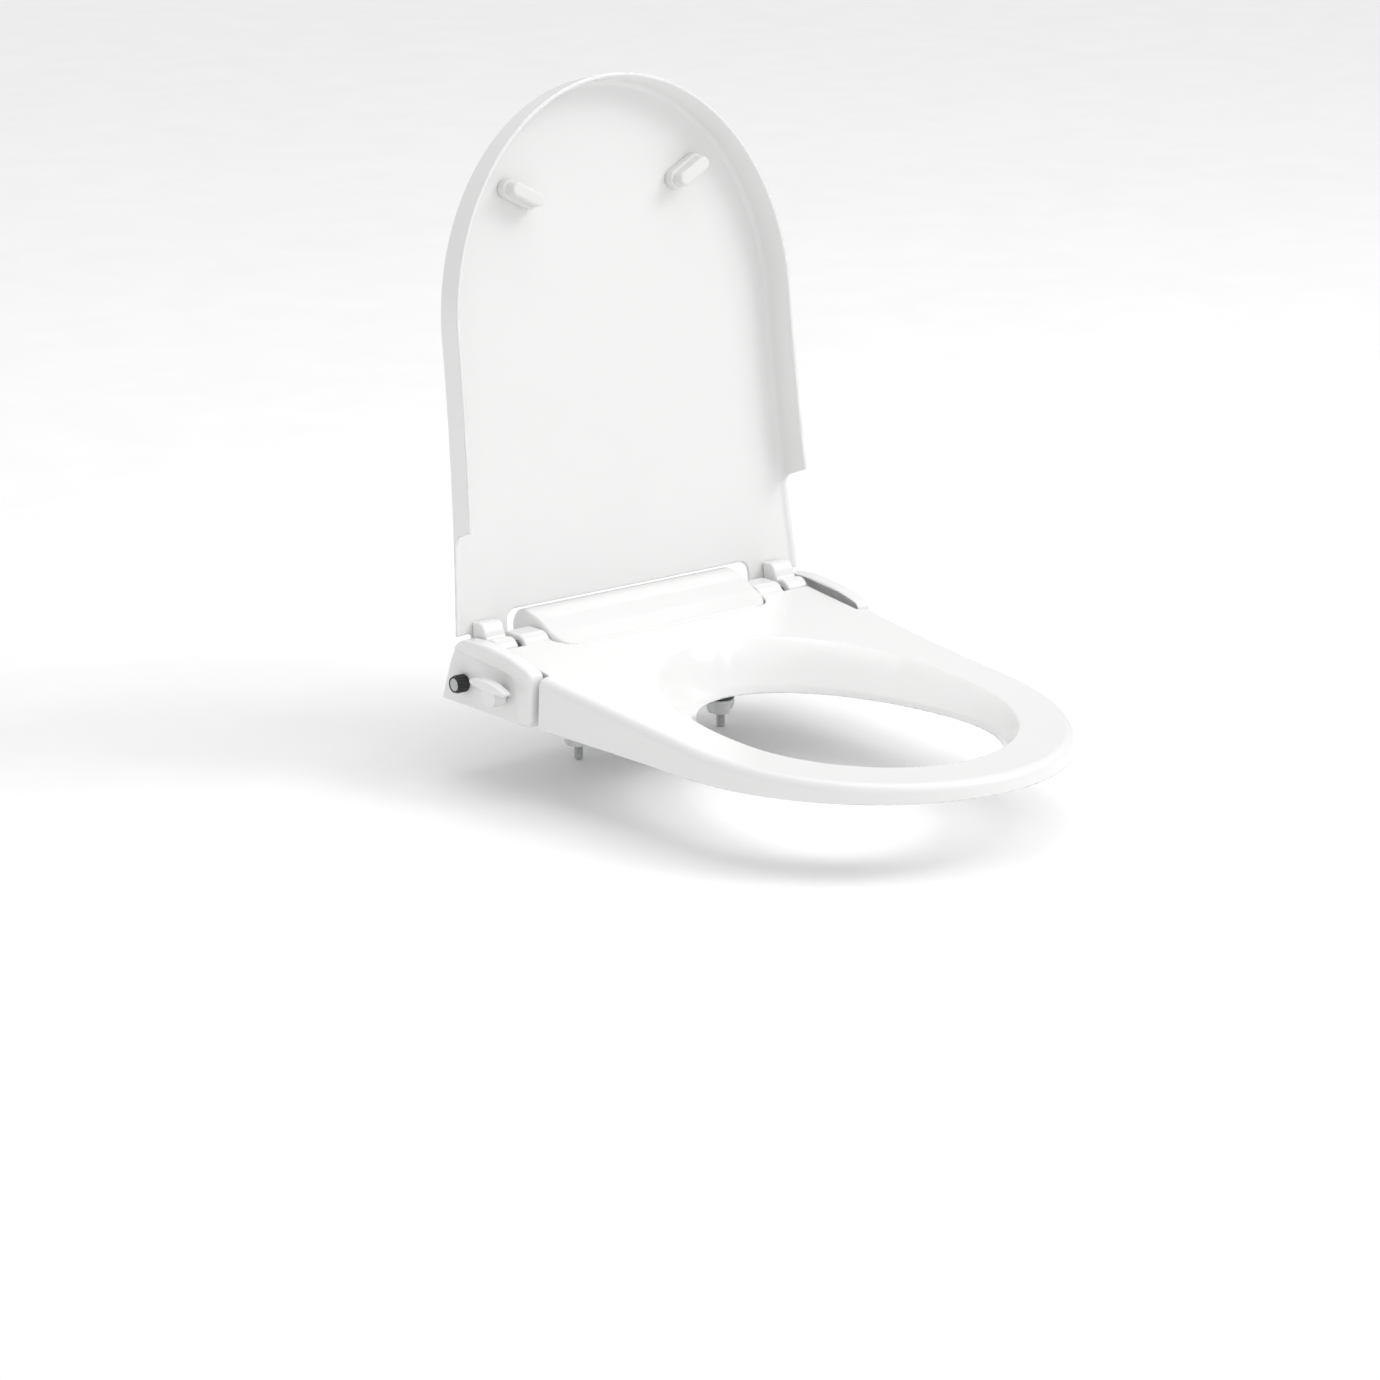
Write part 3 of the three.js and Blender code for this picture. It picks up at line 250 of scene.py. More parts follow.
def onto(shape, points, step):
    """The points moved along the slope until they lie on the surface."""
    for _ in range(2):
        slope = gradient(shape, points)
        move = shape(*points.T) / np.maximum((slope**2).sum(1), 0.2)
        points = points - np.clip(move, -step / 2, step / 2)[:, None] * slope
    return points


def relaxed(points, faces):
    """Each point moved halfway to the middle of its neighbours, which evens out the mesh."""
    ends = np.concatenate([faces[:, [i, (i + 1) % 4]] for i in range(4)])
    count = np.maximum(np.bincount(ends[:, 0], minlength=len(points)), 1)
    middle = [np.bincount(ends[:, 0], points[ends[:, 1], k], len(points)) / count for k in range(3)]
    return (points + np.stack(middle, 1)) / 2


def surface(shape, low, high, step):
    """Points, four-sided faces and normals of the surface where shape is zero."""
    axes = [np.arange(a - 1.43 * step, b + 2.43 * step, step) for a, b in zip(low, high)]
    value = shape(*np.meshgrid(*axes, indexing="ij"))
    inside = value < 0
    total, count = crossings(value, inside)
    used = count > 0
    number = np.full(used.shape, -1)
    number[used] = np.arange(used.sum())
    start = np.stack(np.meshgrid(*[axis[:-1] for axis in axes], indexing="ij"), -1)
    points = start[used] + step * total[used] / count[used][:, None]
    faces = []
    for axis in range(3):
        one, two = (axis + 1) % 3, (axis + 2) % 3
        low_end = [slice(1, -1)] * 3
        high_end = [slice(1, -1)] * 3
        low_end[axis], high_end[axis] = slice(0, -1), slice(1, None)
        a, b = inside[tuple(low_end)], inside[tuple(high_end)]
        for solid_first in (True, False):
            found = np.argwhere((a & ~b) if solid_first else (b & ~a))
            ring = []
            for du, dv in ((0, 0), (1, 0), (1, 1), (0, 1)):
                cell = found.copy()
                cell[:, one] += du
                cell[:, two] += dv
                ring.append(number[tuple(cell.T)])
            faces.append(np.stack(ring if solid_first else ring[::-1], 1))
    faces = np.concatenate(faces)
    for _ in range(3):
        points = onto(shape, relaxed(points, faces), step)
    normals = gradient(shape, points)
    normals /= np.maximum(np.linalg.norm(normals, axis=1), 1e-6)[:, None]
    return points, faces, normals


def skin(name, shape, low, high, step, nodes, place=None, body="base", slot="white_gloss", side=1):
    """The piece called name, as a mesh that stands for CAD nodes. side -1 mirrors it to the other side."""
    points, faces, normals = surface(shape, low, high, step)
    if side < 0:
        points[:, 0] *= -1
        normals[:, 0] *= -1
        faces = faces[:, ::-1]
    place = place or Matrix.Identity(4)
    turn = np.array(place.to_3x3())
    points = (points @ turn.T + np.array(place.translation)) / 1000
    mesh = bpy.data.meshes.new(name)
    mesh.vertices.add(len(points))
    mesh.vertices.foreach_set("co", points.astype(np.float32).ravel())
    mesh.loops.add(faces.size)
    mesh.loops.foreach_set("vertex_index", faces.astype(np.int32).ravel())
    mesh.polygons.add(len(faces))
    mesh.polygons.foreach_set("loop_start", np.arange(0, faces.size, 4, dtype=np.int32))
    mesh.update(calc_edges=True)
    mesh.polygons.foreach_set("use_smooth", np.ones(len(faces), bool))
    mesh.normals_split_custom_set_from_vertices((normals @ turn.T).tolist())
    piece = bpy.data.objects.new(name, mesh)
    bpy.context.scene.collection.objects.link(piece)
    mesh.materials.append(MATERIALS[slot])
    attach(piece, body)
    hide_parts(*nodes)
    return piece


# ---- materials ----


def finish_nodes(name, colour, roughness, mottle, grain, grain_depth, **fixed):
    """A moulded finish: faint clouding of the colour, uneven gloss and a fine surface grain."""
    material = bpy.data.materials.new(name)
    material.use_nodes = True
    nodes, links = material.node_tree.nodes, material.node_tree.links
    shader = nodes["Principled BSDF"]
    for socket, value in fixed.items():
        shader.inputs[socket.replace("_", " ")].default_value = value
    where = nodes.new("ShaderNodeTexCoord").outputs["Object"]

    def noise(scale, detail):
        texture = nodes.new("ShaderNodeTexNoise")
        texture.inputs["Scale"].default_value = scale
        texture.inputs["Detail"].default_value = detail
        links.new(where, texture.inputs["Vector"])
        return texture.outputs["Fac"]

    ramp = nodes.new("ShaderNodeValToRGB")
    ramp.color_ramp.elements[0].position = 0.35
    ramp.color_ramp.elements[1].position = 0.65
    ramp.color_ramp.elements[0].color = (*[c * (1 - mottle) for c in colour], 1)
    ramp.color_ramp.elements[1].color = (*colour, 1)
    links.new(noise(11, 3), ramp.inputs["Fac"])
    links.new(ramp.outputs["Color"], shader.inputs["Base Color"])

    gloss = nodes.new("ShaderNodeMapRange")
    gloss.inputs["To Min"].default_value = roughness * 0.85
    gloss.inputs["To Max"].default_value = roughness * 1.2
    links.new(noise(38, 4), gloss.inputs["Value"])
    links.new(gloss.outputs["Result"], shader.inputs["Roughness"])

    bump = nodes.new("ShaderNodeBump")
    bump.inputs["Strength"].default_value = 0.4
    bump.inputs["Distance"].default_value = grain_depth
    links.new(noise(grain, 2), bump.inputs["Height"])
    links.new(bump.outputs["Normal"], shader.inputs["Normal"])
    return material


MATERIALS = {
    "white_gloss": finish_nodes("white_gloss", (0.84, 0.84, 0.836), 0.2, 0.012, 160, 2e-5,
                                Coat_Weight=0.25, Coat_Roughness=0.08, IOR=1.5),
    "inner_white": finish_nodes("inner_white", (0.8, 0.81, 0.8), 0.48, 0.03, 900, 6e-5, IOR=1.48),
    "pale_grey": finish_nodes("pale_grey", (0.5, 0.51, 0.52), 0.42, 0.04, 700, 5e-5, IOR=1.48),
    "black_plastic": finish_nodes("black_plastic", (0.012, 0.012, 0.014), 0.33, 0.3, 600, 6e-5, IOR=1.5),
    "rubber_white": finish_nodes("rubber_white", (0.8, 0.8, 0.79), 0.55, 0.03, 1100, 8e-5, IOR=1.45),
    "rubber_grey": finish_nodes("rubber_grey", (0.09, 0.095, 0.1), 0.75, 0.2, 1300, 1.5e-4, IOR=1.45),
    "hose_clear": finish_nodes("hose_clear", (0.66, 0.7, 0.74), 0.3, 0.05, 90, 3e-5,
                               Coat_Weight=0.3, IOR=1.42),
    "steel": finish_nodes("steel", (0.56, 0.57, 0.58), 0.28, 0.12, 420, 3e-5, Metallic=1.0),
}

# ---- the outline that the lid and the seat share ----


def outline_depth(x, s, length):
    """How far a point lies inside the outline, seen from above."""
    back = np.clip((LID_STRAIGHT - s) / LID_STRAIGHT, 0, None)
    width = LID_HALF_WIDTH + (LID_REAR_HALF_WIDTH - LID_HALF_WIDTH) * back**2
    reach = length - LID_STRAIGHT
    ahead = np.maximum(s - LID_STRAIGHT, 0)
    q = np.maximum(np.hypot(x / LID_HALF_WIDTH, ahead / reach), 1e-3)
    slope = np.hypot(x / LID_HALF_WIDTH**2, ahead / reach**2) / q
    nose = (1 - q) / np.maximum(slope, 1e-4)
    return np.where(s > LID_STRAIGHT, nose, width - np.abs(x))


# ---- lid ----


def lid_shape(x, y, h):
    s = -y
    depth = outline_depth(x, s, LID_LENGTH)
    flare = LID_DRAFT * np.clip((h - LID_LIP) / (LID_TOP - LID_LIP - 4), 0, 1.2)
    body = meet(flare - depth, h - LID_TOP, LID_ROUND)
    hollow = meet(flare + LID_WALL - depth, h - (LID_TOP - LID_WALL), LID_ROUND)
    body = cut(body, hollow, 1.2)
    body = meet(body, LID_LIP - h, 1.0)
    body = meet(body, LID_REAR - s, 1.4)
    step = LID_NOTCH - LID_NOTCH_SLOPE * (h - LID_LIP) / (LID_NOTCH_HEIGHT - LID_LIP)
    body = cut(body, meet(s - step, h - LID_NOTCH_HEIGHT, 7), 1.0)
    body = cut(body, meet(np.abs(x) - WINDOW_HALF, s - WINDOW_FRONT, 10), 1.2)
    return cut(body, meet(LID_CORNER[0] - np.abs(x), s - LID_CORNER[1], 3), 1.2)


def knuckle_shape(x, y, h):
    barrel = np.hypot(y, h) - KNUCKLE_RADIUS
    arm = prism(y, h, [
        (9.4, 4.5, 0), (-3, 23.8, 1), (-24, 23.8, 1), (-24, 11, 3), (-19, 7.6, 3), (-4, 4.5, 1),
    ])
    body = join(barrel, arm, 3)
    body = meet(body, slab(x, KNUCKLE_INNER, KNUCKLE_OUTER), 2.2)
    return cut(body, np.hypot(y, h) - PIN_HOLE, 0.5)


def seat_crest(s):
    share = np.clip(1 - s / SEAT_LENGTH, 0, None) ** 1.5
    return SEAT_FRONT_HEIGHT + (SEAT_REAR_HEIGHT - SEAT_FRONT_HEIGHT) * share


def lid_bumper_shape(x, y, h):
    tilt = math.radians(CLOSED_TILT)
    rest = float(seat_crest(LID_PAD[1])) - HINGE
    foot = (rest + LID_PAD[1] * math.sin(tilt)) / math.cos(tilt) + PLAY
    dx, dy = x - LID_PAD[0], y + LID_PAD[1]
    u = dx * math.cos(LID_PAD_TURN) + dy * math.sin(LID_PAD_TURN)
    v = dy * math.cos(LID_PAD_TURN) - dx * math.sin(LID_PAD_TURN)
    top = LID_TOP - LID_WALL - FIT
    broad = meet(capsule(u, v, 20, 8.5), slab(h, top - 9, top), 1.6)
    narrow = meet(capsule(u, v, 17.5, 6), slab(h, foot, top), 2.2)
    return join(broad, narrow, 0.6)


# ---- seat ----


def opening_share(x, s):
    """A point's share of the way out to the opening's edge, and the opening's reach there."""
    reach = np.where(s > OPENING_WIDEST, OPENING_FRONT - OPENING_WIDEST, OPENING_WIDEST - OPENING_REAR)
    return np.maximum(np.hypot(x / OPENING_HALF, (s - OPENING_WIDEST) / reach), 1e-3), reach


def from_opening(x, s):
    """Distance outside the opening's edge; negative inside the opening."""
    q, reach = opening_share(x, s)
    slope = np.hypot(x / OPENING_HALF**2, (s - OPENING_WIDEST) / reach**2) / q
    return (q - 1) / np.maximum(slope, 1e-4)


def dish_width(x, s):
    """Width of the dish's slope, beside the nearest place on the opening's edge."""
    q, _ = opening_share(x, s)
    edge_x, edge_s = x / q, OPENING_WIDEST + (s - OPENING_WIDEST) / q
    behind = DISH_REAR + (DISH_SIDE - DISH_REAR) * np.clip(np.abs(edge_x) / OPENING_HALF, 0, 1)
    taper = np.clip((edge_s - DISH_TAPER) / (OPENING_FRONT - DISH_TAPER), 0, 1)
    return behind + (DISH_FRONT - behind) * taper


def seat_shape(x, y, z):
    s = -y
    crest = np.minimum(seat_crest(s), SEAT_REAR_HEIGHT)
    depth = outline_depth(x, s, SEAT_LENGTH + SEAT_INSET) - SEAT_INSET
    near = from_opening(x, s)
    dish = np.minimum(dish_width(x, s), np.maximum(depth + near - SEAT_DRAFT - SEAT_ROUND - 1, 6))
    drop = np.maximum(crest - OPENING_HEIGHT, 0)
    share = np.clip(1 - near / dish, 0, 1.2)
    top = crest - drop * share**1.25
    steep = 1.25 * drop / dish * share**0.25
    flare = SEAT_DRAFT * (z - SEAT_BOTTOM) / np.maximum(crest - SEAT_BOTTOM, 5)
    body = meet((z - top) / np.hypot(1.03, steep), flare - depth, SEAT_ROUND)
    body = meet(body, -near, 2.5)
    ahead = COVER_FRONT + 12 - s
    keep = np.maximum(np.abs(x) - CHANNEL_HALF - SEAT_WALL, s - OPENING_REAR - 16 - SEAT_WALL)
    hollow = np.maximum(body + SEAT_WALL, OPENING_RIM - 0.8 - near)
    hollow = np.maximum(np.maximum(hollow, ahead), -keep)
    body = meet(body, SEAT_BOTTOM - z, 1.2)
    body = cut(body, hollow, 0.6)
    body = meet(body, SEAT_REAR - s, 6)
    gap_x, gap_s = HUMP_HIGH[0] + PLAY, -HUMP_LOW[1] + PLAY
    body = cut(body, meet(np.abs(x) - gap_x, s - gap_s, HUMP_ROUND + PLAY), 1.6)
    under = UNDERCUT_HEIGHT + 5 * np.clip((13 - s) / 5, 0, 1) + 0.25 * np.clip(8 - s, 0, 40)
    body = cut(body, meet(s - UNDERCUT_FRONT, z - under, 5), 1.4)
    roof = SEAT_BOTTOM + 4.2 + 17.8 * np.clip((92 - s) / 22, 0, 1)
    channel = meet(np.abs(x) - CHANNEL_HALF, meet(s - CHANNEL_FRONT, z - roof, 3), 3)
    body = cut(body, channel, 1.0)
    beside = meet(BETWEEN_COVERS - np.abs(x), s - COVER_FRONT - 3, 3)
    side = np.minimum(beside, np.maximum(EAR_OUTER - np.abs(x), s))
    barrel = np.maximum(EAR_OUTER - np.abs(x), np.hypot(y, z - HINGE) - EAR_RADIUS - PLAY)
    body = cut(body, np.minimum(side, barrel), 1.6)
    block = meet(slab(y, -3, EAR_BACK), slab(z, HINGE - 2, HINGE + EAR_RADIUS), 3)
    boss = np.minimum(np.hypot(y, z - HINGE) - EAR_RADIUS, block)
    boss = meet(boss, slab(np.abs(x), gap_x, EAR_OUTER), 1.8)
    body = join(body, boss, 1.0)
    return cut(body, np.hypot(y, z - HINGE) - BUSH_HOLE, 0.5)


def seat_pad_shape(at_x, at_s, turn):
    def shape(x, y, z):
        dx, dy = x - at_x, y + at_s
        u = -dx * math.sin(turn) + dy * math.cos(turn)
        v = dx * math.cos(turn) + dy * math.sin(turn)
        return meet(capsule(u, v, 17, 5.5), slab(z, 0, 3.3), 1.0)
    return shape


# ---- housing ----


def hump_top(y):
    """Height of the hump: a low front facet, a steeper one up to the crest, and a gentle rear one."""
    rise = [(-60, 41), (-28.5, 52.5), (-8, 60), (7, 67.5), (27, 73), (39, 71), (60, 63)]
    ys, zs = zip(*rise)
    return sum(np.interp(y + shift, ys, zs) for shift in (-0.7, 0, 0.7)) / 3 - 0.3


def hump_shape(x, y, z):
    half, front, rear = HUMP_HIGH[0], HUMP_LOW[1], HUMP_HIGH[1]
    plan = meet(np.abs(x) - half, front - y, HUMP_ROUND)
    back = meet(y - rear, (z - 62) * 0.6 + (y - 45) * 0.8, 4)
    body = meet((z - hump_top(y)) * 0.93, plan, 3)
    body = meet(body, back, 3.5)
    inside = body + 2.8
    body = meet(body, HUMP_LOW[2] - z, 0.6)
    body = cut(body, inside, 0.4)
    door = np.maximum(np.maximum(np.abs(x) - 23, y), z - 36)
    hose_hole = np.maximum(np.maximum(x + half - 4, slab(y, 0, 30)), z - 32)
    latch_hole = np.maximum(np.maximum(half - 4 - x, slab(y, 14, 26)), z - 19)
    holes = np.minimum(np.minimum(door, hose_hole), latch_hole)
    body = cut(body, holes, 0.5)
    return cut(body, np.hypot(y, z - HINGE) - PIN_HOLE, 0.4)


COVER_PROFILE = [
    (2 - COVER_FRONT, 3, 0), (COVER_REAR, 3, 1), (COVER_REAR - 16, HINGE - 3, 5),
    (COVER_REAR - 27, HINGE + 10, 8),
    (COVER_REAR - 42, HINGE + 13.3, 8), (14 - COVER_FRONT, HINGE + 6, 8), (-COVER_FRONT, HINGE, 7),
]
PANEL_PROFILE = [
    (16 - COVER_FRONT, -60, 0), (90, -60, 0), (90, HINGE + 7.5, 0), (COVER_REAR - 31, HINGE + 1.5, 6),
    (23 - COVER_FRONT, HINGE - 5, 9),
]


def cover_body(x, y, z):
    inner, outer = COVER_LOW[0], COVER_HIGH[0]
    profile = prism(y, z, COVER_PROFILE)
    body = meet(profile, x - outer, 4)
    body = meet(body, inner - x, 0.8)
    hollow = np.maximum(profile + 2.5, x - (outer - 2.5 - PANEL_DEPTH))
    return cut(body, hollow, 0.5)


def right_cover_shape(x, y, z):
    centre_y, centre_z = (BUTTON_LOW + BUTTON_HIGH)[1:] / 2
    hole = np.maximum(np.hypot(y - centre_y, z - centre_z) - 7.4, COVER_LOW[0] - x)
    return cut(cover_body(x, y, z), hole, 0.6)


LEVER_AT = 1000 * np.array(JOINTS["lever_turn"]["pos_m"])
INLET_AT = (NUT_LOW + NUT_HIGH) / 2


def left_cover_shape(x, y, z):
    """Drawn on the right, like every piece that is mirrored to the left."""
    floor = COVER_HIGH[0] - PANEL_DEPTH
    panel = meet(prism(y, z, PANEL_PROFILE), floor - x, 1.0)
    body = cut(cover_body(x, y, z), panel, 0.8)
    body = cut(body, np.hypot(y - LEVER_AT[1], z - LEVER_AT[2]) - 5.1, 0.5)
    return cut(body, np.hypot(y - INLET_AT[1], z - INLET_AT[2]) - 6.2, 0.5)


def lever_shape(x, y, z):
    dy, dz = y - LEVER_AT[1], z - LEVER_AT[2]
    outer = -LEVER_LOW[0]
    leaf = prism(dy, dz, [
        (44, 4.5, 2), (43.5, 8.3, 2.4), (18, 16, 14), (-9, 16.4, 12),
        (-27, 7, 4), (-23, 1.6, 4), (-4, 0.6, 10), (14, 1.8, 10),
    ])
    crown = (x - outer) + 0.0035 * (dy + 2) ** 2
    paddle = meet(leaf, slab(x, outer - 9, outer), 0.5)
    paddle = meet(paddle, crown, 3)
    hub = meet(np.hypot(dy, dz) - 9.5, slab(x, COVER_HIGH[0] + 0.6, outer - 3), 1.4)
    return join(paddle, hub, 1.5)


# ---- water inlet, release button, nozzles ----


def inlet_nut_shape(x, y, z):
    dy, dz = y - INLET_AT[1], z - INLET_AT[2]
    r = np.hypot(dy, dz)
    flute = 0.3 * np.cos(18 * np.arctan2(dz, dy))
    low, high = -NUT_HIGH[0], -NUT_LOW[0]
    body = meet(r - (7.45 + flute), slab(x, low, high - 2), 0.8)
    body = join(body, meet(r - 6.9, slab(x, low, high), 0.8), 0.5)
    return cut(body, r - 5.8, 0.5)


def inlet_cap_shape(x, y, z):
    low, high = mm_box("inlet_cap")
    r = np.hypot(y - INLET_AT[1], z - INLET_AT[2])
    ring = 0.25 * np.exp(-((r - 3.4) / 0.4) ** 2)
    return meet(r - 5.5, slab(x + ring, -high[0], -low[0]), 0.4)


def nipple_shape(x, y, z):
    low, high = mm_box("inlet_nipple")
    r = np.hypot(y - INLET_AT[1], z - INLET_AT[2])
    return cut(meet(r - 5.5, slab(x, -high[0], -low[0]), 0.4), r - 3.2, 0.4)


def button_shape(x, y, z):
    centre_y, centre_z = (BUTTON_LOW + BUTTON_HIGH)[1:] / 2
    r = np.hypot(y - centre_y, z - centre_z)
    face = BUTTON_HIGH[0] - 0.008 * r**2
    return meet(meet(r - 7, x - face, 1.2), BUTTON_LOW[0] - x, 0.4)


NOZZLE_PLACE = Matrix.Translation(NOZZLE_TIP) @ Matrix.Rotation(NOZZLE_SLOPE, 4, "X")


def nozzle_shape(at_x, jets):
    def shape(x, y, z):
        r = np.hypot(x - at_x, z)
        body = meet(r - NOZZLE_RADIUS, slab(y, 0, NOZZLE_LENGTH), 2.4)
        body = cut(body, slab(y, 22, 22.8) + np.maximum(NOZZLE_RADIUS - 0.4 - r, 0), 0.1)
        for jet in jets:
            hole = np.maximum(np.hypot(x - at_x, y - jet) - 0.9, 4 - z)
            body = cut(body, hole, 0.3)
        return body
    return shape


def housing_shape(x, y, z):
    body = meet(np.abs(x) - HOUSING_HALF, slab(y, 5.3, HOUSING_REAR), 2)
    body = meet(body, np.abs(z) - 8, 1.5)
    for at_x in (-NOZZLE_X, NOZZLE_X):
        body = cut(body, np.maximum(np.hypot(x - at_x, z) - NOZZLE_RADIUS - 0.3, y - 70), 0.5)
    return body


def shield_shape(x, y, z):
    body = meet(meet(np.abs(x) - HOUSING_HALF, np.abs(z) - 7.5, 2.5), slab(y, 2, 5), 0.8)
    for at_x in (-NOZZLE_X, NOZZLE_X):
        body = cut(body, np.hypot(x - at_x, z) - NOZZLE_RADIUS - 0.6, 0.5)
    return body


# ---- bolts ----

PLATE_TOP = mm_box("mounting_plate")[1][2]


def bolt_shape(at_x):
    low = mm_box("bolt_right")[0][2]

    def shape(x, y, z):
        dx = x - at_x
        r = np.hypot(dx, y)
        turn = np.arctan2(y, dx) / (2 * np.pi)
        groove = np.abs((z / 1.25 - turn) % 1 - 0.5) * 2
        threaded = 0.55 * (1 - groove) * np.clip((PLATE_TOP - 12 - z) / 3, 0, 1)
        shank = meet(r - 4 + threaded, slab(z, low, PLATE_TOP + 2), 1.0)
        head = meet(r - 9, slab(z, PLATE_TOP + FIT, PLATE_TOP + FIT + 3.4), 1.5)
        cross = np.minimum(np.abs(dx), np.abs(y)) - 0.7
        cross = np.maximum(cross, np.maximum(r - 4.5, PLATE_TOP + 2.2 - z))
        return cut(join(shank, head, 0.2), cross, 0.2)
    return shape


def cone_shape(at_x):
    low, high = mm_box("rubber_cone_right")

    def shape(x, y, z):
        r = np.hypot(x - at_x, y)
        taper = 12 - 5 * np.clip((z - low[2] - 3) / (high[2] - low[2] - 3), 0, 1)
        body = meet((r - taper) * 0.88, slab(z, low[2], high[2]), 0.8)
        return cut(body, r - 4.3, 0.3)
    return shape


def wing_nut_shape(at_x):
    low, high = mm_box("wing_nut_right")

    def shape(x, y, z):
        dx = x - at_x
        r = np.hypot(dx, y)
        body = turned(r, z, [(8, low[2], high[2]), (11, high[2] - 3.4, high[2])], 1.0)
        wing = meet(np.abs(y) - 2, slab(z, low[2] + 1, high[2] - 2), 1.2)
        wing = meet(wing, np.hypot(dx, (z - (low[2] + high[2]) / 2 - 2) * 1.3) - 15, 2)
        return cut(join(body, wing, 1.5), r - 4.3, 0.4)
    return shape


# ---- building the pieces ----


def build():
    lean = Matrix.Translation((0, 0, HINGE)) @ Matrix.Rotation(-math.radians(LID_OPEN), 4, "X")
    skin("lid", lid_shape, (-LID_REAR_HALF_WIDTH, -LID_LENGTH, LID_LIP),
         (LID_REAR_HALF_WIDTH, -LID_REAR, LID_TOP), COARSE,
         place=lean, nodes=["lid_shell"], body="lid")
    skin("seat", seat_shape, SEAT_LOW, (SEAT_HIGH[0], -SEAT_REAR, SEAT_HIGH[2]), COARSE,
         nodes=["seat_top"], body="seat")
    skin("hump", hump_shape, HUMP_LOW, HUMP_HIGH + (0, 0, 1), MEDIUM, nodes=["hump_cover"])
    skin("cover_right", right_cover_shape, COVER_LOW, COVER_HIGH, MEDIUM, nodes=["side_cover_right"])
    skin("cover_left", left_cover_shape, COVER_LOW, COVER_HIGH, MEDIUM, nodes=["side_cover_left"], side=-1)
    skin("lever_paddle", lever_shape, (184, LEVER_LOW[1] - 2, LEVER_LOW[2]),
         (202, LEVER_HIGH[1] + 2, LEVER_HIGH[2] + 2), FINE, nodes=["lever"], body="control_lever", side=-1)
    skin("nut", inlet_nut_shape, (-NUT_HIGH[0], *NUT_LOW[1:]), (-NUT_LOW[0], *NUT_HIGH[1:]), FINE,
         nodes=["inlet_nut"], slot="black_plastic", side=-1)
    skin("nut_disc", inlet_cap_shape, (190, *NUT_LOW[1:]), (194, *NUT_HIGH[1:]), FINE / 2,
         nodes=["inlet_cap"], slot="pale_grey", side=-1)
    skin("nipple", nipple_shape, (160, *NUT_LOW[1:]), (193, *NUT_HIGH[1:]), FINE,
         nodes=["inlet_nipple"], slot="inner_white", side=-1)
    skin("button", button_shape, BUTTON_LOW, BUTTON_HIGH, FINE, nodes=["release_button"], body="release")
    for side, sign in (("left", -1), ("right", 1)):
        skin(f"knuckle_{side}", knuckle_shape,
             (KNUCKLE_INNER - 1, -25, -12), (KNUCKLE_OUTER + 1, 12, 25), MEDIUM,
             place=lean, nodes=[f"lid_knuckle_{side}"], body="lid", side=sign)
        skin(f"lid_pad_{side}", lid_bumper_shape, (66, -394, 0), (110, -350, 24), MEDIUM,
             place=lean, nodes=[f"lid_bumper_{side}"], body="lid", slot="rubber_white", side=sign)
        for row, (at_x, at_s) in SEAT_PADS.items():
            turn = -0.8 * math.atan2(at_s - LID_STRAIGHT, at_x) if at_s > LID_STRAIGHT else 0
            skin(f"seat_pad_{side}_{row}", seat_pad_shape(at_x, at_s, turn),
                 (at_x - 18, -at_s - 18, 0), (at_x + 18, -at_s + 18, 3.3), FINE,
                 nodes=[f"seat_bumper_{side}_{row}"], body="seat", slot="rubber_white", side=sign)
        skin(f"fixing_bolt_{side}", bolt_shape(BOLT_X), (68, -10, -58), (87, 10, 8), FINE,
             nodes=[f"bolt_{side}"], slot="steel", side=sign)
        skin(f"cone_{side}", cone_shape(BOLT_X), (65, -13, -33), (90, 13, -21), FINE,
             nodes=[f"rubber_cone_{side}"], slot="rubber_grey", side=sign)
        skin(f"hand_nut_{side}", wing_nut_shape(BOLT_X), (62, -12, -47), (93, 12, -33), FINE,
             nodes=[f"wing_nut_{side}"], slot="inner_white", side=sign)
    for name, at_x, jets in (("rear", -NOZZLE_X, (7, 10)), ("front", NOZZLE_X, (5, 8, 11))):
        skin(f"wand_{name}", nozzle_shape(at_x, jets),
             (at_x - 7, -1, -7), (at_x + 7, NOZZLE_LENGTH + 1, 7), FINE,
             place=NOZZLE_PLACE, nodes=[f"nozzle_{name}"], body=f"{name}_nozzle")
    skin("wand_housing", housing_shape, (-22, 5, -9), (22, 75, 9), MEDIUM,
         place=NOZZLE_PLACE, nodes=["nozzle_housing"], slot="inner_white")
    skin("wand_shield", shield_shape, (-22, 1, -9), (22, 6, 9), FINE,
         place=NOZZLE_PLACE, nodes=["nozzle_shield"])


def dress_cad_nodes():
    """The CAD nodes that still show get their slot's material and softened edges."""
    slots = {part["node"]: part["material_slot"] for part in frame["record"]["subparts"]}
    for name, node in frame["nodes"].items():
        if node.hide_render:
            continue
        node.data.materials.clear()
        node.data.materials.append(MATERIALS[slots[name]])
        weld = node.modifiers.new("weld", "WELD")
        weld.merge_threshold = 1e-6
        bevel = node.modifiers.new("edges", "BEVEL")
        bevel.width = 0.0004
        bevel.segments = 2
        bevel.limit_method = "ANGLE"
        bevel.angle_limit = math.radians(40)
        bevel.harden_normals = False


# ---- camera, floor and light ----

CAMERA = dict(azimuth=-38.69, elevation=15.67, roll=-0.38, lens=127.2, right=34.17, up=-11.87, back=4161.64)


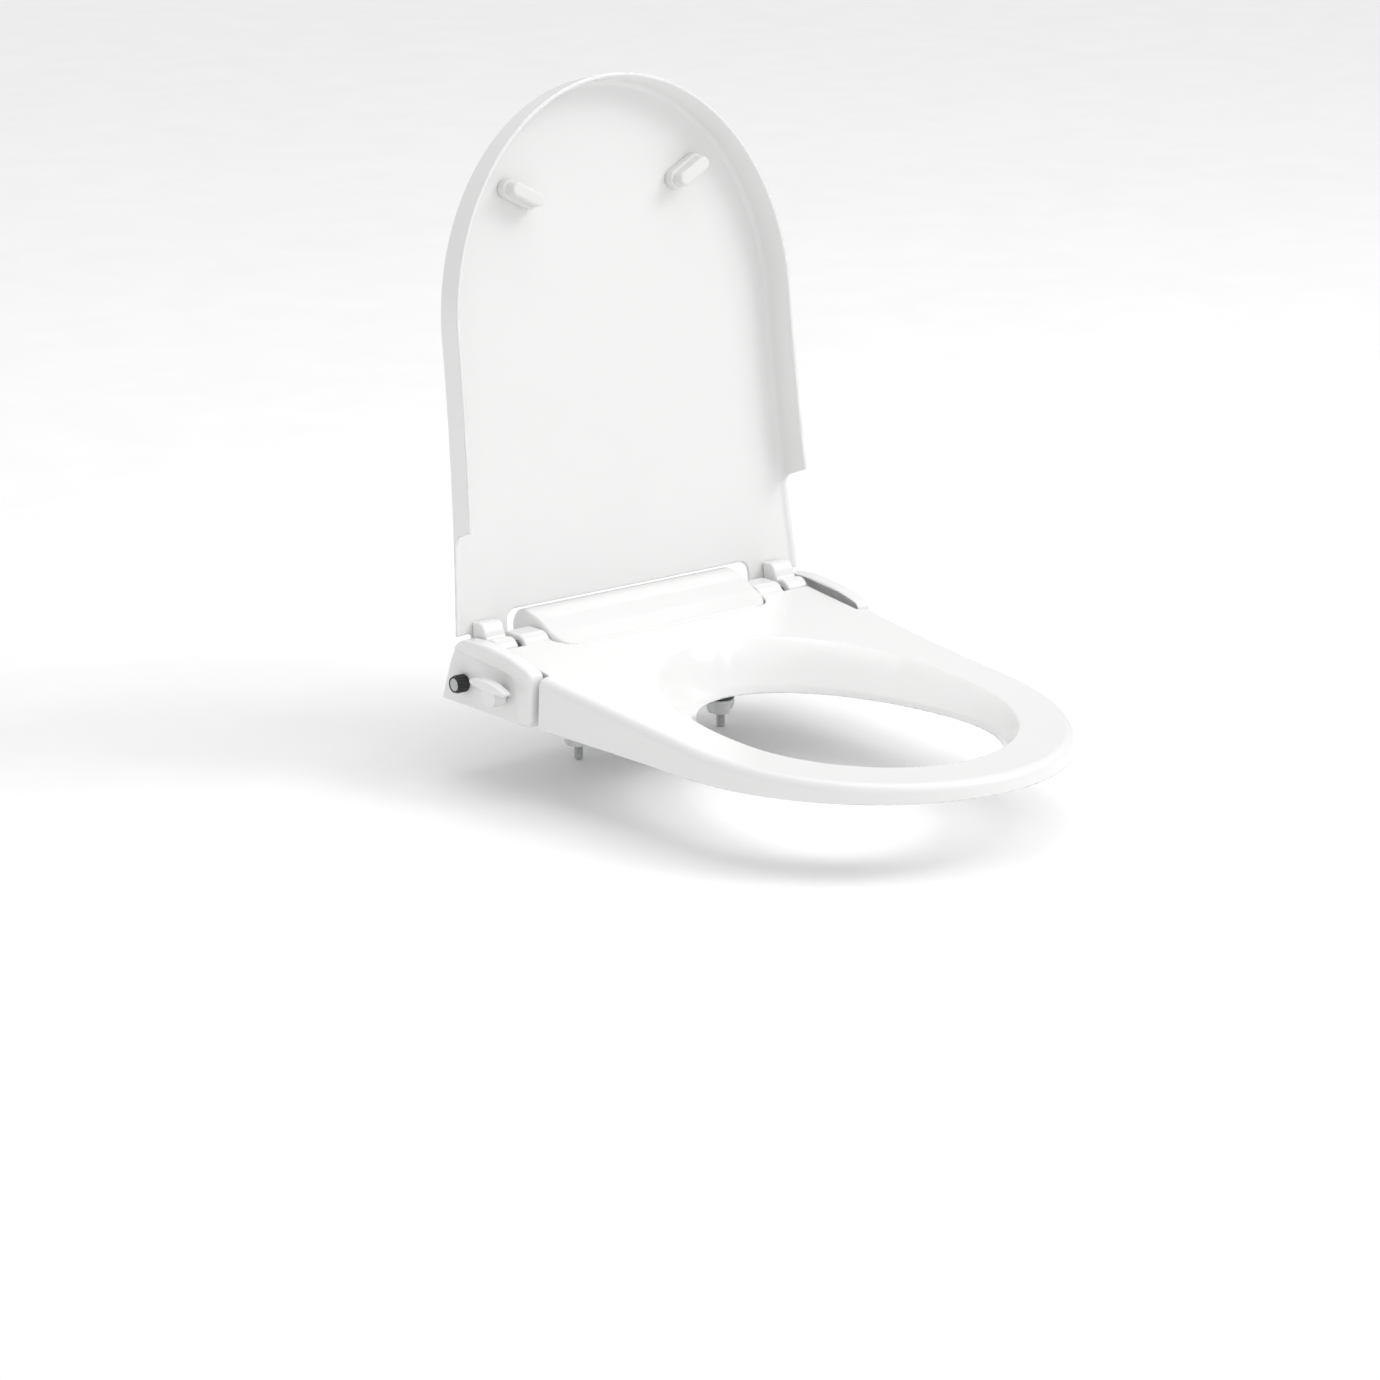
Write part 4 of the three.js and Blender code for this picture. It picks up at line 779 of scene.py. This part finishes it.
def make_camera():
    a, e = math.radians(CAMERA["azimuth"]), math.radians(CAMERA["elevation"])
    back = Vector((math.sin(a) * math.cos(e), -math.cos(a) * math.cos(e), math.sin(e)))
    right = Vector((math.cos(a), math.sin(a), 0))
    up = back.cross(right)
    camera = bpy.data.objects.new("camera", bpy.data.cameras.new("camera"))
    bpy.context.scene.collection.objects.link(camera)
    spin = Matrix.Rotation(math.radians(CAMERA["roll"]), 3, "Z")
    basis = Matrix((right, up, back)).transposed() @ spin
    place = (right * CAMERA["right"] + up * CAMERA["up"] + back * CAMERA["back"]) / 1000
    camera.matrix_world = Matrix.Translation(place) @ basis.to_4x4()
    camera.data.lens = CAMERA["lens"]
    camera.data.sensor_width = 36
    camera.data.clip_end = 100
    bpy.context.scene.camera = camera


def area_light(name, place, size, energy, target=(0, -0.15, 0.15)):
    light = bpy.data.lights.new(name, "AREA")
    light.size = size
    light.energy = energy
    lamp = bpy.data.objects.new(name, light)
    bpy.context.scene.collection.objects.link(lamp)
    lamp.location = place
    aim = Vector(target) - Vector(place)
    lamp.rotation_mode = "QUATERNION"
    lamp.rotation_quaternion = aim.to_track_quat("-Z", "Y")


def make_stage():
    scene = bpy.context.scene
    scene.view_settings.view_transform = "Standard"
    world = bpy.data.worlds.new("studio")
    world.use_nodes = True
    world.node_tree.nodes["Background"].inputs["Color"].default_value = (1, 1, 1, 1)
    world.node_tree.nodes["Background"].inputs["Strength"].default_value = 0.66
    scene.world = world
    area_light("key", (2.2, -2.0, 2.6), 1.6, 38)
    area_light("top", (0.2, 0.3, 2.8), 1.8, 10)
    area_light("fill", (-2.2, -2.4, 0.9), 1.8, 4)
    sky = bpy.data.lights.new("sky", "SUN")
    sky.energy = 0.7
    sky.angle = math.radians(60)
    lamp = bpy.data.objects.new("sky", sky)
    bpy.context.scene.collection.objects.link(lamp)
    lamp.rotation_euler = (math.radians(18), math.radians(14), 0)
    bpy.ops.mesh.primitive_plane_add(size=12, location=(0, 0, cad_box[0].z - 0.0005))
    floor = bpy.context.object
    floor.name = "floor"
    floor.data.materials.append(finish_nodes("floor", (0.97, 0.97, 0.97), 0.7, 0.02, 50, 1e-4))


make_camera()
build()
dress_cad_nodes()
make_stage()
